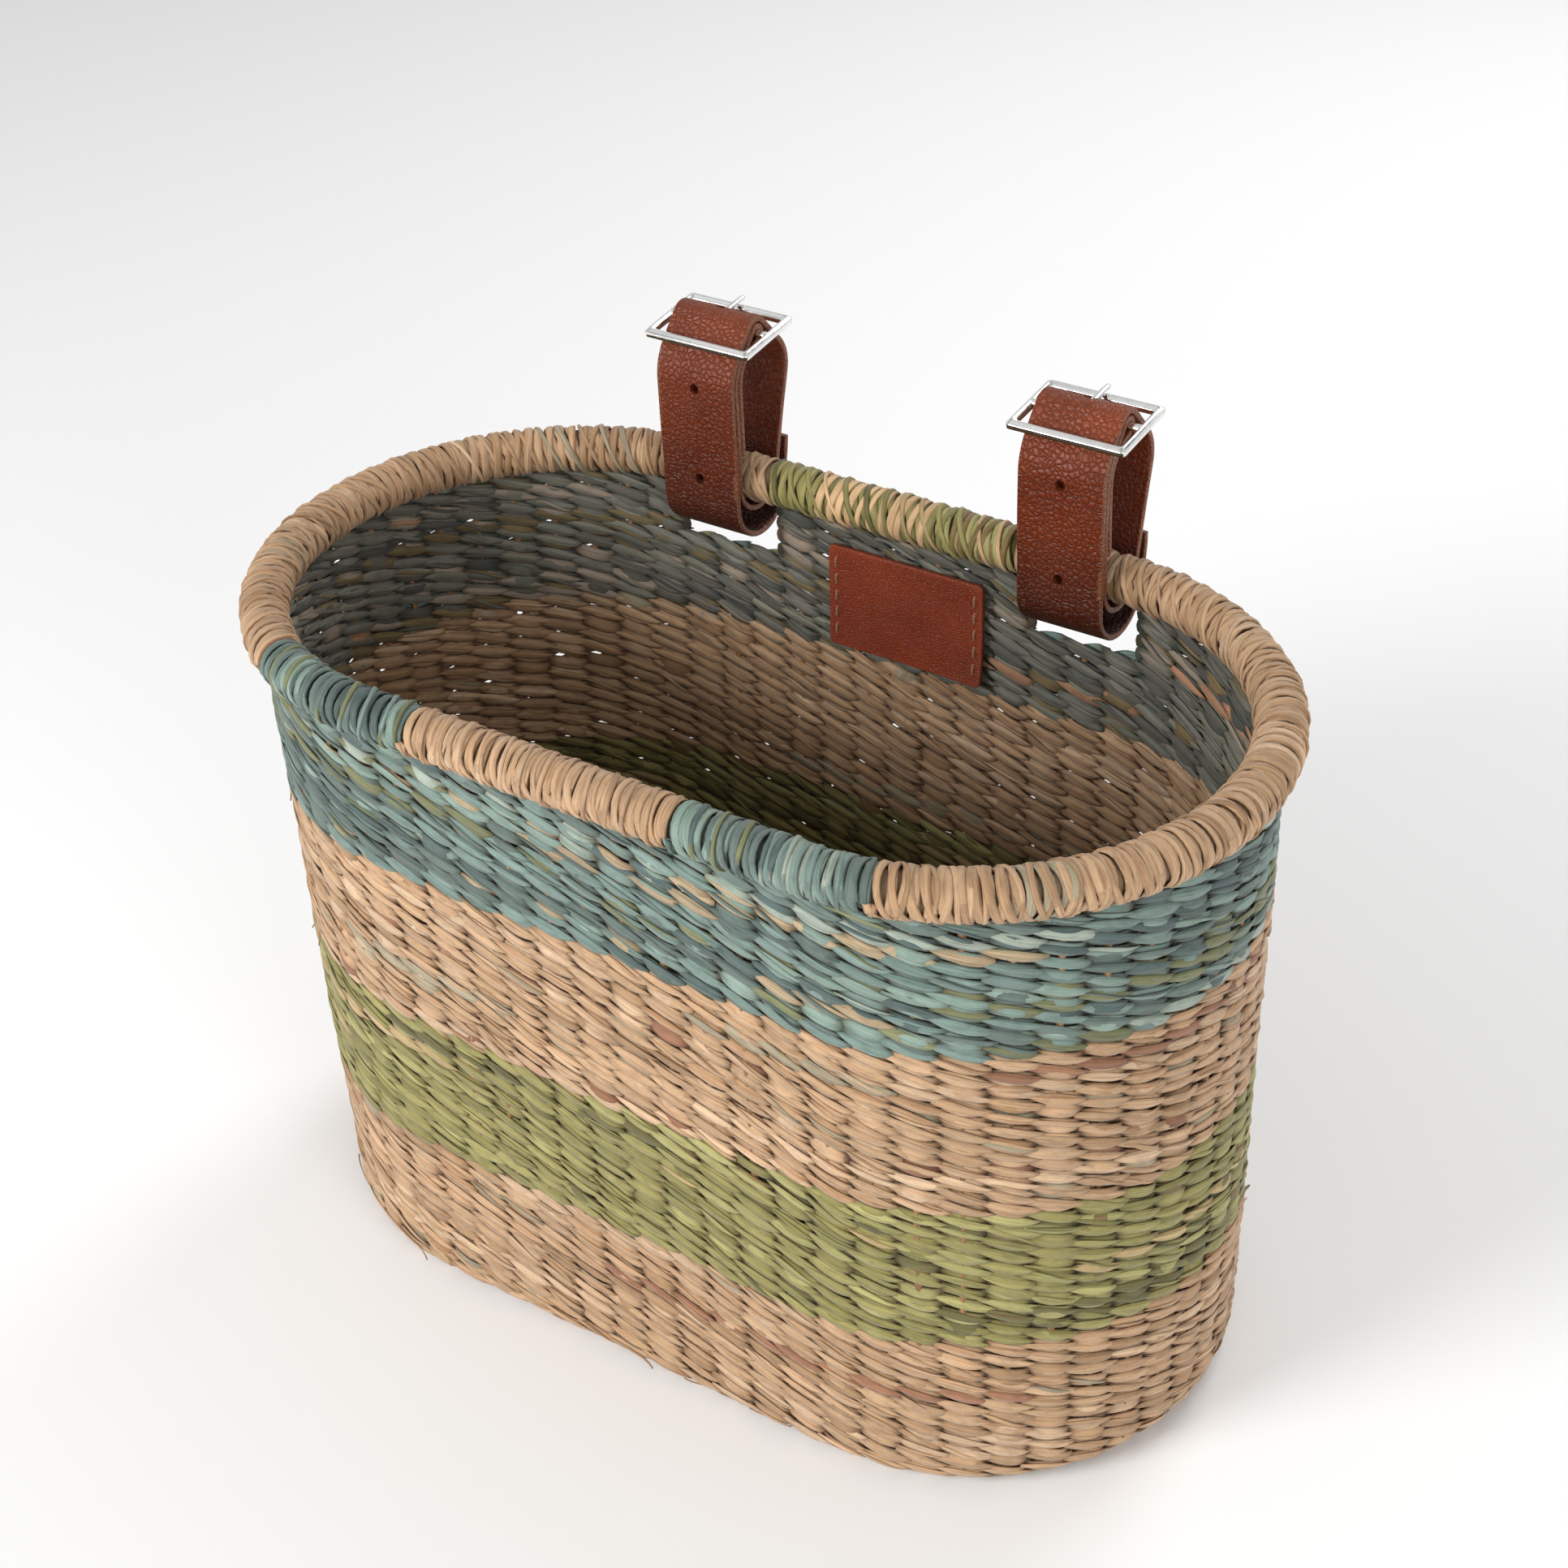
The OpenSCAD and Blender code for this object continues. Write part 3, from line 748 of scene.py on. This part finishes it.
def rim_wrap(name, node, slot, u0, u1, palette, material, seed):
    """One colour's length of the rim: a dark core, painted shade that closes the gaps, and the strands wound
    over it.
    """
    rng = np.random.default_rng(seed)
    skin = Skin()
    steps = max(12, int((u1 - u0) / (4 * MM)))
    u = np.linspace(u0 + 0.2 * MM, u1 - 0.2 * MM, steps)
    x, y, nx, ny = oval(u, END_R)
    angle = TAU * np.arange(SHADE_TUBE_RING) / SHADE_TUBE_RING
    rings = np.stack([x[:, None] + SHADE_TUBE_R * nx[:, None] * np.cos(angle),
                      y[:, None] + SHADE_TUBE_R * ny[:, None] * np.cos(angle),
                      RIM_Z + SHADE_TUBE_R * np.broadcast_to(np.sin(angle), (steps, SHADE_TUBE_RING))], -1)
    # painted shade: the strand colour at half brightness, shaded further by its alpha
    skin.add(rings, False, (0, 0, 0.3), (*(0.5 * srgb(*palette[0][0])), 0.5))
    for pitch, depth, width, slant, run in WINDINGS:
        add_winding(skin, rng, u0, u1, pitch * MM, ROLL_R - depth * MM, width * MM, palette, slant * MM, run)
    skin.build(name, "basket", material, slot, node)


# where each colour starts along the rim's path
GREEN_BACK = -45 * MM
TAN_LEFT = 50 * MM
BLUE_LEFT = HALF + ARC * 152 / 180
TAN_FRONT = HALF + ARC + 19 * MM
BLUE_FRONT = HALF + ARC + 116 * MM
TAN_RIGHT = 3 * HALF + ARC + ARC * 14 / 180
GREEN_MIX = GREENS + [((214, 178, 134), 34)]
rim_wrap("wrap_tan_left", "rim_wrap_tan_left", "tan_grass", TAN_LEFT, BLUE_LEFT, TANS, TAN, 31)
rim_wrap("wrap_blue_left", "rim_wrap_blue_left", "blue_grass", BLUE_LEFT, TAN_FRONT, BLUES, BLUE, 32)
rim_wrap("wrap_tan_front", "rim_wrap_tan_front", "tan_grass", TAN_FRONT, BLUE_FRONT, TANS, TAN, 33)
rim_wrap("wrap_blue_front", "rim_wrap_blue_front", "blue_grass", BLUE_FRONT, TAN_RIGHT, BLUES, BLUE, 34)
rim_wrap("wrap_tan_right", "rim_wrap_tan_right", "tan_grass", TAN_RIGHT, PATH + GREEN_BACK, TANS, TAN, 35)
rim_wrap("wrap_green_back", "rim_wrap_green_back", "green_grass", GREEN_BACK, TAN_LEFT, GREEN_MIX, GREEN, 36)


# ---------------------------------------------------------------- straps
LEATHER = 2 * MM
GAP = 0.2 * MM
mounts = {m["name"]: m for m in record["mounts"]}
joints = {j["name"]: j for j in record["behaviour"]["joints"]}
bar_at = mounts["bar_loop_left"]["pos_m"]
pin_at = joints["buckle_left_tilt"]["pos_m"]
rim_at = joints["strap_left_swing"]["pos_m"]
BAR = np.array([bar_at[1] - rim_at[1], bar_at[2] - rim_at[2]])
PIN = np.array([pin_at[1] - rim_at[1], pin_at[2] - rim_at[2]])
BAR_R = 12.7 * MM
FLAP = BAR_R + LEATHER / 2
RUN = FLAP + LEATHER + GAP
OUTER = RUN + LEATHER + GAP
LOOP = ROLL_R + 1.6 * MM + LEATHER / 2
PIN_R = 1.5 * MM
FOLD = PIN_R + 0.1 * MM + LEATHER / 2
HUMP = FOLD + LEATHER + 0.5 * MM
SLACK = 14 * MM
SLACK_Z = -7 * MM
FLAP_END_Z = 12 * MM
TAIL_END = (17.6 * MM, 8 * MM)
HOLE_HEIGHTS = (35.5 * MM, 2 * MM)
HOLE_R = 1.8 * MM
FACE_POINTS = 22
STRAP_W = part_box("strap_left")[1].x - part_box("strap_left")[0].x
# what the strap runs round, seen from the side: place from the rim's middle, and radius, less than 0
# where the strap turns the other way round it
BENDS = [
    (BAR[0] - FLAP, FLAP_END_Z, 0),
    (*BAR, -FLAP),
    (*PIN, FOLD),
    (*BAR, RUN),
    (0, 0, LOOP),
    (*BAR, FLAP),
    (*PIN, HUMP),
    (*BAR, OUTER),
    (BAR[0] - OUTER + SLACK, SLACK_Z, SLACK),
    (*TAIL_END, 0),
]


def belt_path():
    """Middle line of a strap in side view and its direction, from the sewn flap to the free tail."""
    def heading(a, b):
        away = (b[0] - a[0], b[1] - a[1])
        return math.atan2(away[1], away[0]) + math.acos((b[2] - a[2]) / math.hypot(*away)) - math.pi / 2

    def touch(bend, way):
        return bend[0] + bend[2] * math.sin(way), bend[1] - bend[2] * math.cos(way)

    ways = [heading(a, b) for a, b in zip(BENDS, BENDS[1:])]
    points, directions = [], []
    for i, way in enumerate(ways):
        start, end = np.array(touch(BENDS[i], way)), np.array(touch(BENDS[i + 1], way))
        steps = max(2, int(np.linalg.norm(end - start) / (1.6 * MM)))
        for f in np.linspace(0, 1, steps + 1)[:-1]:
            points.append(start + (end - start) * f)
            directions.append(way)
        if i + 1 < len(ways):
            bend = BENDS[i + 1]
            turn = (ways[i + 1] - way) % TAU if bend[2] > 0 else -((way - ways[i + 1]) % TAU)
            steps = max(3, int(abs(turn) * abs(bend[2]) / (0.9 * MM)), int(abs(turn) / 0.16))
            for f in np.linspace(0, 1, steps + 1)[:-1]:
                points.append(np.array(touch(bend, way + turn * f)))
                directions.append(way + turn * f)
    points.append(end)
    directions.append(ways[-1])
    return np.array(points), np.array(directions)


BELT, BELT_WAY = belt_path()


def linked(name, shape):
    """An object in the scene made of the bmesh."""
    mesh = bpy.data.meshes.new(name)
    shape.to_mesh(mesh)
    shape.free()
    obj = bpy.data.objects.new(name, mesh)
    scene.collection.objects.link(obj)
    return obj


def cylinder_cutter(name, radius, length, centre, axis):
    turned = Vector(axis).to_track_quat("Z", "Y").to_matrix().to_4x4()
    shape = bmesh.new()
    bmesh.ops.create_cone(shape, cap_ends=True, segments=28, radius1=radius, radius2=radius, depth=length,
                          matrix=Matrix.Translation(centre) @ turned)
    return linked(name, shape)


def box_cutter(name, low, high):
    size = Vector(high) - Vector(low)
    shape = bmesh.new()
    bmesh.ops.create_cube(shape, size=1, matrix=Matrix.Translation((Vector(high) + Vector(low)) / 2)
                          @ Matrix.Diagonal((*size, 1)))
    return linked(name, shape)


def cut(mesh, cutters):
    """The mesh with each cutter taken away."""
    work = bpy.data.objects.new("work", mesh)
    scene.collection.objects.link(work)
    for tool in cutters:
        modifier = work.modifiers.new("cut", "BOOLEAN")
        modifier.object = tool
        modifier.operation = "DIFFERENCE"
        modifier.solver = "EXACT"
    result = bpy.data.meshes.new_from_object(work.evaluated_get(bpy.context.evaluated_depsgraph_get()))
    for obj in [work, *cutters]:
        bpy.data.objects.remove(obj)
    return result


def strap_section():
    """Section of a strap across and through it: front face, rounded edge, back face, rounded edge."""
    half_w, half_t = STRAP_W / 2, LEATHER / 2
    corner = 0.55 * MM
    flat = np.linspace(-half_w + corner, half_w - corner, FACE_POINTS)
    bend = np.radians([67.5, 45, 22.5, 0, -22.5, -45, -67.5])
    edge_w = half_w - corner + corner * np.cos(bend)
    edge_t = np.where(np.sin(bend) < -0.01, -half_t + corner + corner * np.sin(bend),
                      np.where(np.sin(bend) > 0.01, half_t - corner + corner * np.sin(bend), 0))
    w = np.concatenate([flat, edge_w, flat[::-1], -edge_w[::-1]])
    t = np.concatenate([np.full(FACE_POINTS, half_t), edge_t, np.full(FACE_POINTS, -half_t), edge_t[::-1]])
    return w, t


def strap(side, seed):
    """A strap along its path, with its holes cut and its leather coloured."""
    rng = np.random.default_rng(seed)
    x_mid, rim_y, rim_z = joints[f"strap_{side}_swing"]["pos_m"]
    w, t = strap_section()
    s = length_along(BELT)
    taper = np.minimum(1, 0.985 + 0.015 * np.minimum(s, s[-1] - s) / (3 * MM))
    wander = 0.18 * MM * value_noise(rng, s, 18 * MM)
    normal = np.stack([-np.sin(BELT_WAY), np.cos(BELT_WAY)], -1)
    across = BELT[:, None, 0] + normal[:, None, 0] * t
    up = BELT[:, None, 1] + normal[:, None, 1] * t
    x = x_mid + wander[:, None] + w * taper[:, None]
    rings = np.stack([x, rim_y + across, rim_z + up], -1)
    skin = Skin()
    skin.add(rings, False, (0, 0, 0), (1, 1, 1, 0))
    mesh = bpy.data.meshes.new("strap")
    mesh.from_pydata(np.concatenate(skin.co).tolist(), [], skin.faces)
    face_outward(mesh)
    front_y = rim_y + BAR[0] - OUTER
    pin = Vector((x_mid, rim_y + PIN[0], rim_z + PIN[1]))
    tools = [cylinder_cutter("hole", HOLE_R, 2 * LEATHER, (x_mid, front_y, rim_z + height), (0, 1, 0))
             for height in HOLE_HEIGHTS]
    tools.append(cylinder_cutter("fold_slot", 3.95 * MM, 6 * MM, pin, (1, 0, 0)))
    tools.append(box_cutter("prong_slot", pin + Vector((-1.8 * MM, 0.4 * MM, 0.6 * MM)),
                            pin + Vector((1.8 * MM, 8.2 * MM, 8.2 * MM))))
    mesh = cut(mesh, tools)
    # colour: paler over the top, painted shade darker towards the loop under the rim, pale cut edges
    co = np.empty(len(mesh.vertices) * 3)
    mesh.vertices.foreach_get("co", co)
    co = co.reshape(-1, 3)
    height = co[:, 2] - rim_z
    brightening = np.clip((height - 30 * MM) / (22 * MM), 0, 1)
    # painted shade under the rim: the strap darkens towards its loop
    low = np.clip((22 * MM - height) / (44 * MM), 0, 1)
    tone = 1.0 + 0.35 * brightening - 0.78 * low
    edge = (np.abs(np.abs(co[:, 0] - x_mid) - STRAP_W / 2) < 0.42 * MM) * 0.9
    warm = np.stack([tone, tone * (1 + 0.12 * brightening), tone * (1 + 0.08 * brightening)], -1)
    tint = np.concatenate([warm, edge[:, None]], -1).astype(np.float32)
    if "tint" in mesh.attributes:
        mesh.attributes.remove(mesh.attributes["tint"])
    mesh.attributes.new("tint", "FLOAT_COLOR", "POINT").data.foreach_set("color", tint.ravel())
    dress(f"strap_leather_{side}", mesh, f"strap_{side}_body", STRAP, "strap_leather", f"strap_{side}")
    mesh.set_sharp_from_angle(angle=math.radians(50))


def stitch(skin, start, end, out, radius, lift=0.5):
    """A thread that comes up out of the leather, runs to the next hole and goes down."""
    start, end, out = (np.array(v, float) for v in (start, end, out))
    steps, ring = 13, 8
    f = np.linspace(0, 1, steps)
    rise = np.sin(math.pi * f) ** 0.45 * radius * (1 + lift) - radius * 0.9
    centre = start + (end - start) * f[:, None] + out * rise[:, None]
    side, face = frame_along(centre, np.repeat(out[None], steps, 0), False)
    half = radius * np.minimum(1, 0.6 + 1.4 * np.minimum(f, 1 - f) * 4)
    rings = ribbon_rings(centre, side, face, half, half, ring)
    along = length_along(centre)
    across = np.arange(ring) / ring
    strand = np.stack(np.broadcast_arrays(along[:, None], across[None], np.zeros((1, 1))), -1)
    skin.add(rings, False, strand, (1, 1, 1, 1))


def strap_stitches(side):
    """The row of stitches on both faces of the fold."""
    low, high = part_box(f"strap_stitches_{side}")
    z = (low.z + high.z) / 2
    skin = Skin()
    span = high.x - low.x - 1 * MM
    count = 4
    for face_y, out in ((low.y + 0.15 * MM, -1), (high.y - 0.15 * MM, 1)):
        for i in range(count):
            a = low.x + 0.5 * MM + span * (i + 0.12) / count
            b = low.x + 0.5 * MM + span * (i + 0.88) / count
            stitch(skin, (a, face_y, z), (b, face_y, z), (0, out, 0), 0.42 * MM, 0.1)
    skin.build(f"strap_thread_{side}", f"strap_{side}_body", THREAD, "thread", f"strap_stitches_{side}")


# ---------------------------------------------------------------- buckles
BUCKLE_TILT = math.radians(6)
BUCKLE_W = 41.5 * MM
BUCKLE_FRONT = -14.9 * MM
BUCKLE_BACK = 13.9 * MM
SIDE_W = 2.7 * MM
END_W = 3.4 * MM
PRONG_END = 15.7 * MM
PRONG_STEPS = 22


def rounded_corner_ring(x0, x1, y0, y1, radius, per_corner=7):
    """Outline of a rectangle with round corners, from its lower left corner, anticlockwise."""
    points = []
    for cx, cy, start in ((x0 + radius, y0 + radius, 180), (x1 - radius, y0 + radius, 270),
                          (x1 - radius, y1 - radius, 0), (x0 + radius, y1 - radius, 90)):
        for degrees in np.linspace(start, start + 90, per_corner):
            a = math.radians(degrees)
            points.append((cx + radius * math.cos(a), cy + radius * math.sin(a)))
    return np.array(points)


def on_buckle(side, points):
    """Points given along the rim, backward and up from the centre bar, tilted with the buckle."""
    x, y, z = joints[f"buckle_{side}_tilt"]["pos_m"]
    along, back, up = points[..., 0], points[..., 1], points[..., 2]
    return np.stack([x + along, y + back * math.cos(BUCKLE_TILT) - up * math.sin(BUCKLE_TILT),
                     z + back * math.sin(BUCKLE_TILT) + up * math.cos(BUCKLE_TILT)], -1)


def buckle_frame(side):
    """The rectangular frame, bevelled on top."""
    outer = rounded_corner_ring(-BUCKLE_W / 2, BUCKLE_W / 2, BUCKLE_FRONT, BUCKLE_BACK, 1.5 * MM)
    inner = rounded_corner_ring(-BUCKLE_W / 2 + SIDE_W, BUCKLE_W / 2 - SIDE_W,
                                BUCKLE_FRONT + END_W, BUCKLE_BACK - END_W, 0.7 * MM)
    # section from the outer underside round the bevelled top to the inner underside: share across, mm up
    section = np.array([(0.04, -1.3), (0.0, -1.16), (0.0, 0.2), (0.03, 0.42), (0.10, 0.62), (0.32, 1.14),
                        (0.40, 1.26), (0.50, 1.3), (0.60, 1.26), (0.68, 1.14), (0.90, 0.62), (0.97, 0.42),
                        (1.0, 0.2), (1.0, -1.16), (0.96, -1.3)])
    f = section[:, 0][None, :, None]
    ring = outer[:, None] * (1 - f) + inner[:, None] * f
    up = np.broadcast_to(section[:, 1] * MM, ring.shape[:2])
    skin = Skin()
    skin.add(on_buckle(side, np.concatenate([ring, up[..., None]], -1)), True, (0, 0, 0), (1, 1, 1, 1))
    obj = skin.build(f"buckle_rect_{side}", f"buckle_{side}_body", METAL, "buckle_metal",
                     f"buckle_frame_{side}")
    bevel = obj.modifiers.new("soften", "BEVEL")
    bevel.width = 0.12 * MM
    bevel.segments = 2
    bevel.limit_method = "ANGLE"
    bevel.angle_limit = math.radians(28)


def buckle_prong(side):
    """The prong: wound round the bar, then straight out to its tip, bowed a little upward."""
    wind = np.radians(np.linspace(215, 90, 15))
    rho = 2.42 * MM
    back = rho * np.cos(wind)
    up = rho * np.sin(wind)
    reach = np.linspace(0.6 * MM, PRONG_END, PRONG_STEPS)
    bow = np.sin(math.pi * np.clip(reach / PRONG_END, 0, 1)) * 0.35 * MM
    back = np.concatenate([back, reach])
    up = np.concatenate([up, rho + bow + 0.05 * MM])
    centre = np.stack([np.zeros(len(back)), back, up], -1)
    round_bar = np.stack([0 * wind, np.cos(wind), np.sin(wind)], -1)
    out = unit(np.concatenate([round_bar, np.repeat([[0, 0, 1.0]], PRONG_STEPS, 0)]))
    side_way, face = frame_along(centre, out, False)
    s = length_along(centre)
    f = s / s[-1]
    stops = [0, 0.24, 0.34, 0.9, 0.965, 1]
    half_w = np.interp(f, stops, [2.1, 2.1, 1.15, 0.98, 0.8, 0.3]) * MM
    half_t = np.interp(f, stops, [0.72, 0.72, 0.95, 0.85, 0.66, 0.25]) * MM
    rings = on_buckle(side, ribbon_rings(centre, side_way, face, half_w, half_t, 14))
    skin = Skin()
    skin.add(rings, False, (0, 0, 0), (1, 1, 1, 1))
    skin.build(f"buckle_tongue_{side}", f"prong_{side}_body", METAL, "buckle_metal", f"buckle_prong_{side}")


for k, side in enumerate(("left", "right")):
    strap(side, 50 + k)
    strap_stitches(side)
    buckle_frame(side)
    buckle_prong(side)


# ---------------------------------------------------------------- patch
PATCH_HALF_W = 30 * MM
PATCH_HALF_H = 19 * MM
PATCH_T = 1.8 * MM
PATCH_STITCH_X = 27 * MM


def patch_surface(x, z, depth):
    """A point of the patch: x along, z up, depth out of its back face; its lower right corner curls up."""
    low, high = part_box("leather_patch")
    lean = (TOP_R - BASE_R) / (TOP_Z - THICK)
    mid_x, mid_z = (low.x + high.x) / 2, (low.z + high.z) / 2
    corner = np.clip((x / PATCH_HALF_W - z / PATCH_HALF_H) / 2 - 0.45, 0, 1)
    lift = 3.2 * MM * corner ** 1.7 + 0.5 * MM * np.clip(-z / PATCH_HALF_H, 0, 1) ** 2
    ripple = 0.18 * MM * np.sin(x / (9 * MM) + 0.7) * np.cos(z / (13 * MM))
    y = wall_r(mid_z) + z * lean - THICK / 2 - 0.4 * MM - depth - lift - ripple
    return np.stack([mid_x + x, y, mid_z + z + 0 * x], -1)


def patch():
    """The leather label and the stitches at its two short sides."""
    outline = rounded_corner_ring(-PATCH_HALF_W, PATCH_HALF_W, -PATCH_HALF_H, PATCH_HALF_H, 2 * MM, 8)
    dense = []
    for a, b in zip(outline, np.roll(outline, -1, 0)):
        steps = max(1, int(np.linalg.norm(b - a) / (1.2 * MM)))
        dense += [a + (b - a) * i / steps for i in range(steps)]
    outline = np.array(dense)
    # rings from the middle of the back, round the edge, to the middle of the front
    inward = np.concatenate([np.linspace(0.02, 0.96, 18), [0.985, 0.996, 1.0, 1.0, 1.0, 0.996, 0.985],
                             np.linspace(0.96, 0.02, 18)])
    level = np.concatenate([np.zeros(18), [0.0, 0.06, 0.2, 0.5, 0.8, 0.94, 1.0], np.ones(18)]) * PATCH_T
    x = inward[:, None] * outline[None, :, 0]
    z = inward[:, None] * outline[None, :, 1]
    rings = patch_surface(x, z, level[:, None] + 0 * x)
    rim = np.exp(-((inward[:, None] - 1) / 0.02) ** 2) * np.ones_like(x)
    brightening = 1 + 0.35 * np.exp(-((inward[:, None] - 1) / 0.05) ** 2) * np.ones_like(x)
    tint = np.stack([brightening, brightening, brightening, rim * 0.5], -1)
    skin = Skin()
    skin.add(rings, False, (0, 0, 0), tint)
    skin.build("patch_panel", "basket", PATCH, "patch_leather", "leather_patch")
    threads = Skin()
    for edge in (-PATCH_STITCH_X, PATCH_STITCH_X):
        for i in range(5):
            z = np.array([(i - 2) * 6.4 - 2.1, (i - 2) * 6.4 + 2.1]) * MM
            a, b = patch_surface(np.array([edge, edge]), z, PATCH_T)
            stitch(threads, a, b, (0, -1, 0), 0.5 * MM, 0.2)
    threads.build("patch_thread", "basket", THREAD, "thread", "patch_stitches")


patch()


# ---------------------------------------------------------------- CAD nodes that are shown
SHOWN = {"warp_stakes": STAKE, "rim_hoop": CANE, "buckle_bar_left": METAL, "buckle_bar_right": METAL}
for name, material in SHOWN.items():
    node = frame["nodes"][name]
    node.data.materials.clear()
    node.data.materials.append(material)


# ---------------------------------------------------------------- stage and light
def stage():
    mesh = bpy.data.meshes.new("floor")
    size, level = 6.0, -0.5 * MM
    corners = [(-size, -size, level), (size, -size, level), (size, size, level), (-size, size, level)]
    mesh.from_pydata(corners, [], [(0, 1, 2, 3)])
    floor = bpy.data.objects.new("floor", mesh)
    scene.collection.objects.link(floor)
    s = Shader("floor_paint", Roughness=0.8)
    s.set("Base Color", (0.93, 0.93, 0.93, 1))
    mesh.materials.append(s.material)


def area_light(name, place, target, size, power):
    data = bpy.data.lights.new(name, "AREA")
    data.shape = "DISK"
    data.size = size
    data.energy = power
    light = bpy.data.objects.new(name, data)
    scene.collection.objects.link(light)
    light.location = place
    light.rotation_mode = "QUATERNION"
    light.rotation_quaternion = (Vector(place) - Vector(target)).to_track_quat("Z", "Y")


def studio_world():
    """Bright round the horizon and dimmer overhead; polished metal sees darker panels between the lights."""
    world = bpy.data.worlds.new("studio")
    scene.world = world
    world.use_nodes = True
    sky = Nodes(world.node_tree)
    direction = sky.node("SeparateXYZ", {0: sky.node("TexCoord").outputs["Generated"]})
    height = sky.math("MULTIPLY_ADD", direction.outputs[2], 0.5, 0.5)
    studio = sky.levels(height, (0.5, 1.0), (0.66, 0.70), (0.85, 0.42), (1.0, 0.36))
    panels = sky.levels(height, (0.40, 0.10), (0.56, 0.30), (0.62, 0.95), (0.74, 1.0), (0.80, 0.16),
                        (0.92, 0.85), (1.0, 0.4))
    glossy = sky.node("LightPath").outputs["Is Glossy Ray"]
    background = sky.tree.nodes["Background"]
    sky.put(background.inputs["Color"], sky.mix(glossy, studio, panels))
    background.inputs["Strength"].default_value = 1.0


stage()
studio_world()
area_light("key", (-0.75, -1.5, 0.95), (0, 0, 0.12), 0.8, 26)
area_light("fill", (1.5, -0.8, 0.7), (0, 0, 0.12), 1.0, 10)
area_light("back", (0.2, 1.4, 1.3), (0, 0, 0.2), 0.9, 12)
scene.view_settings.view_transform = "Standard"
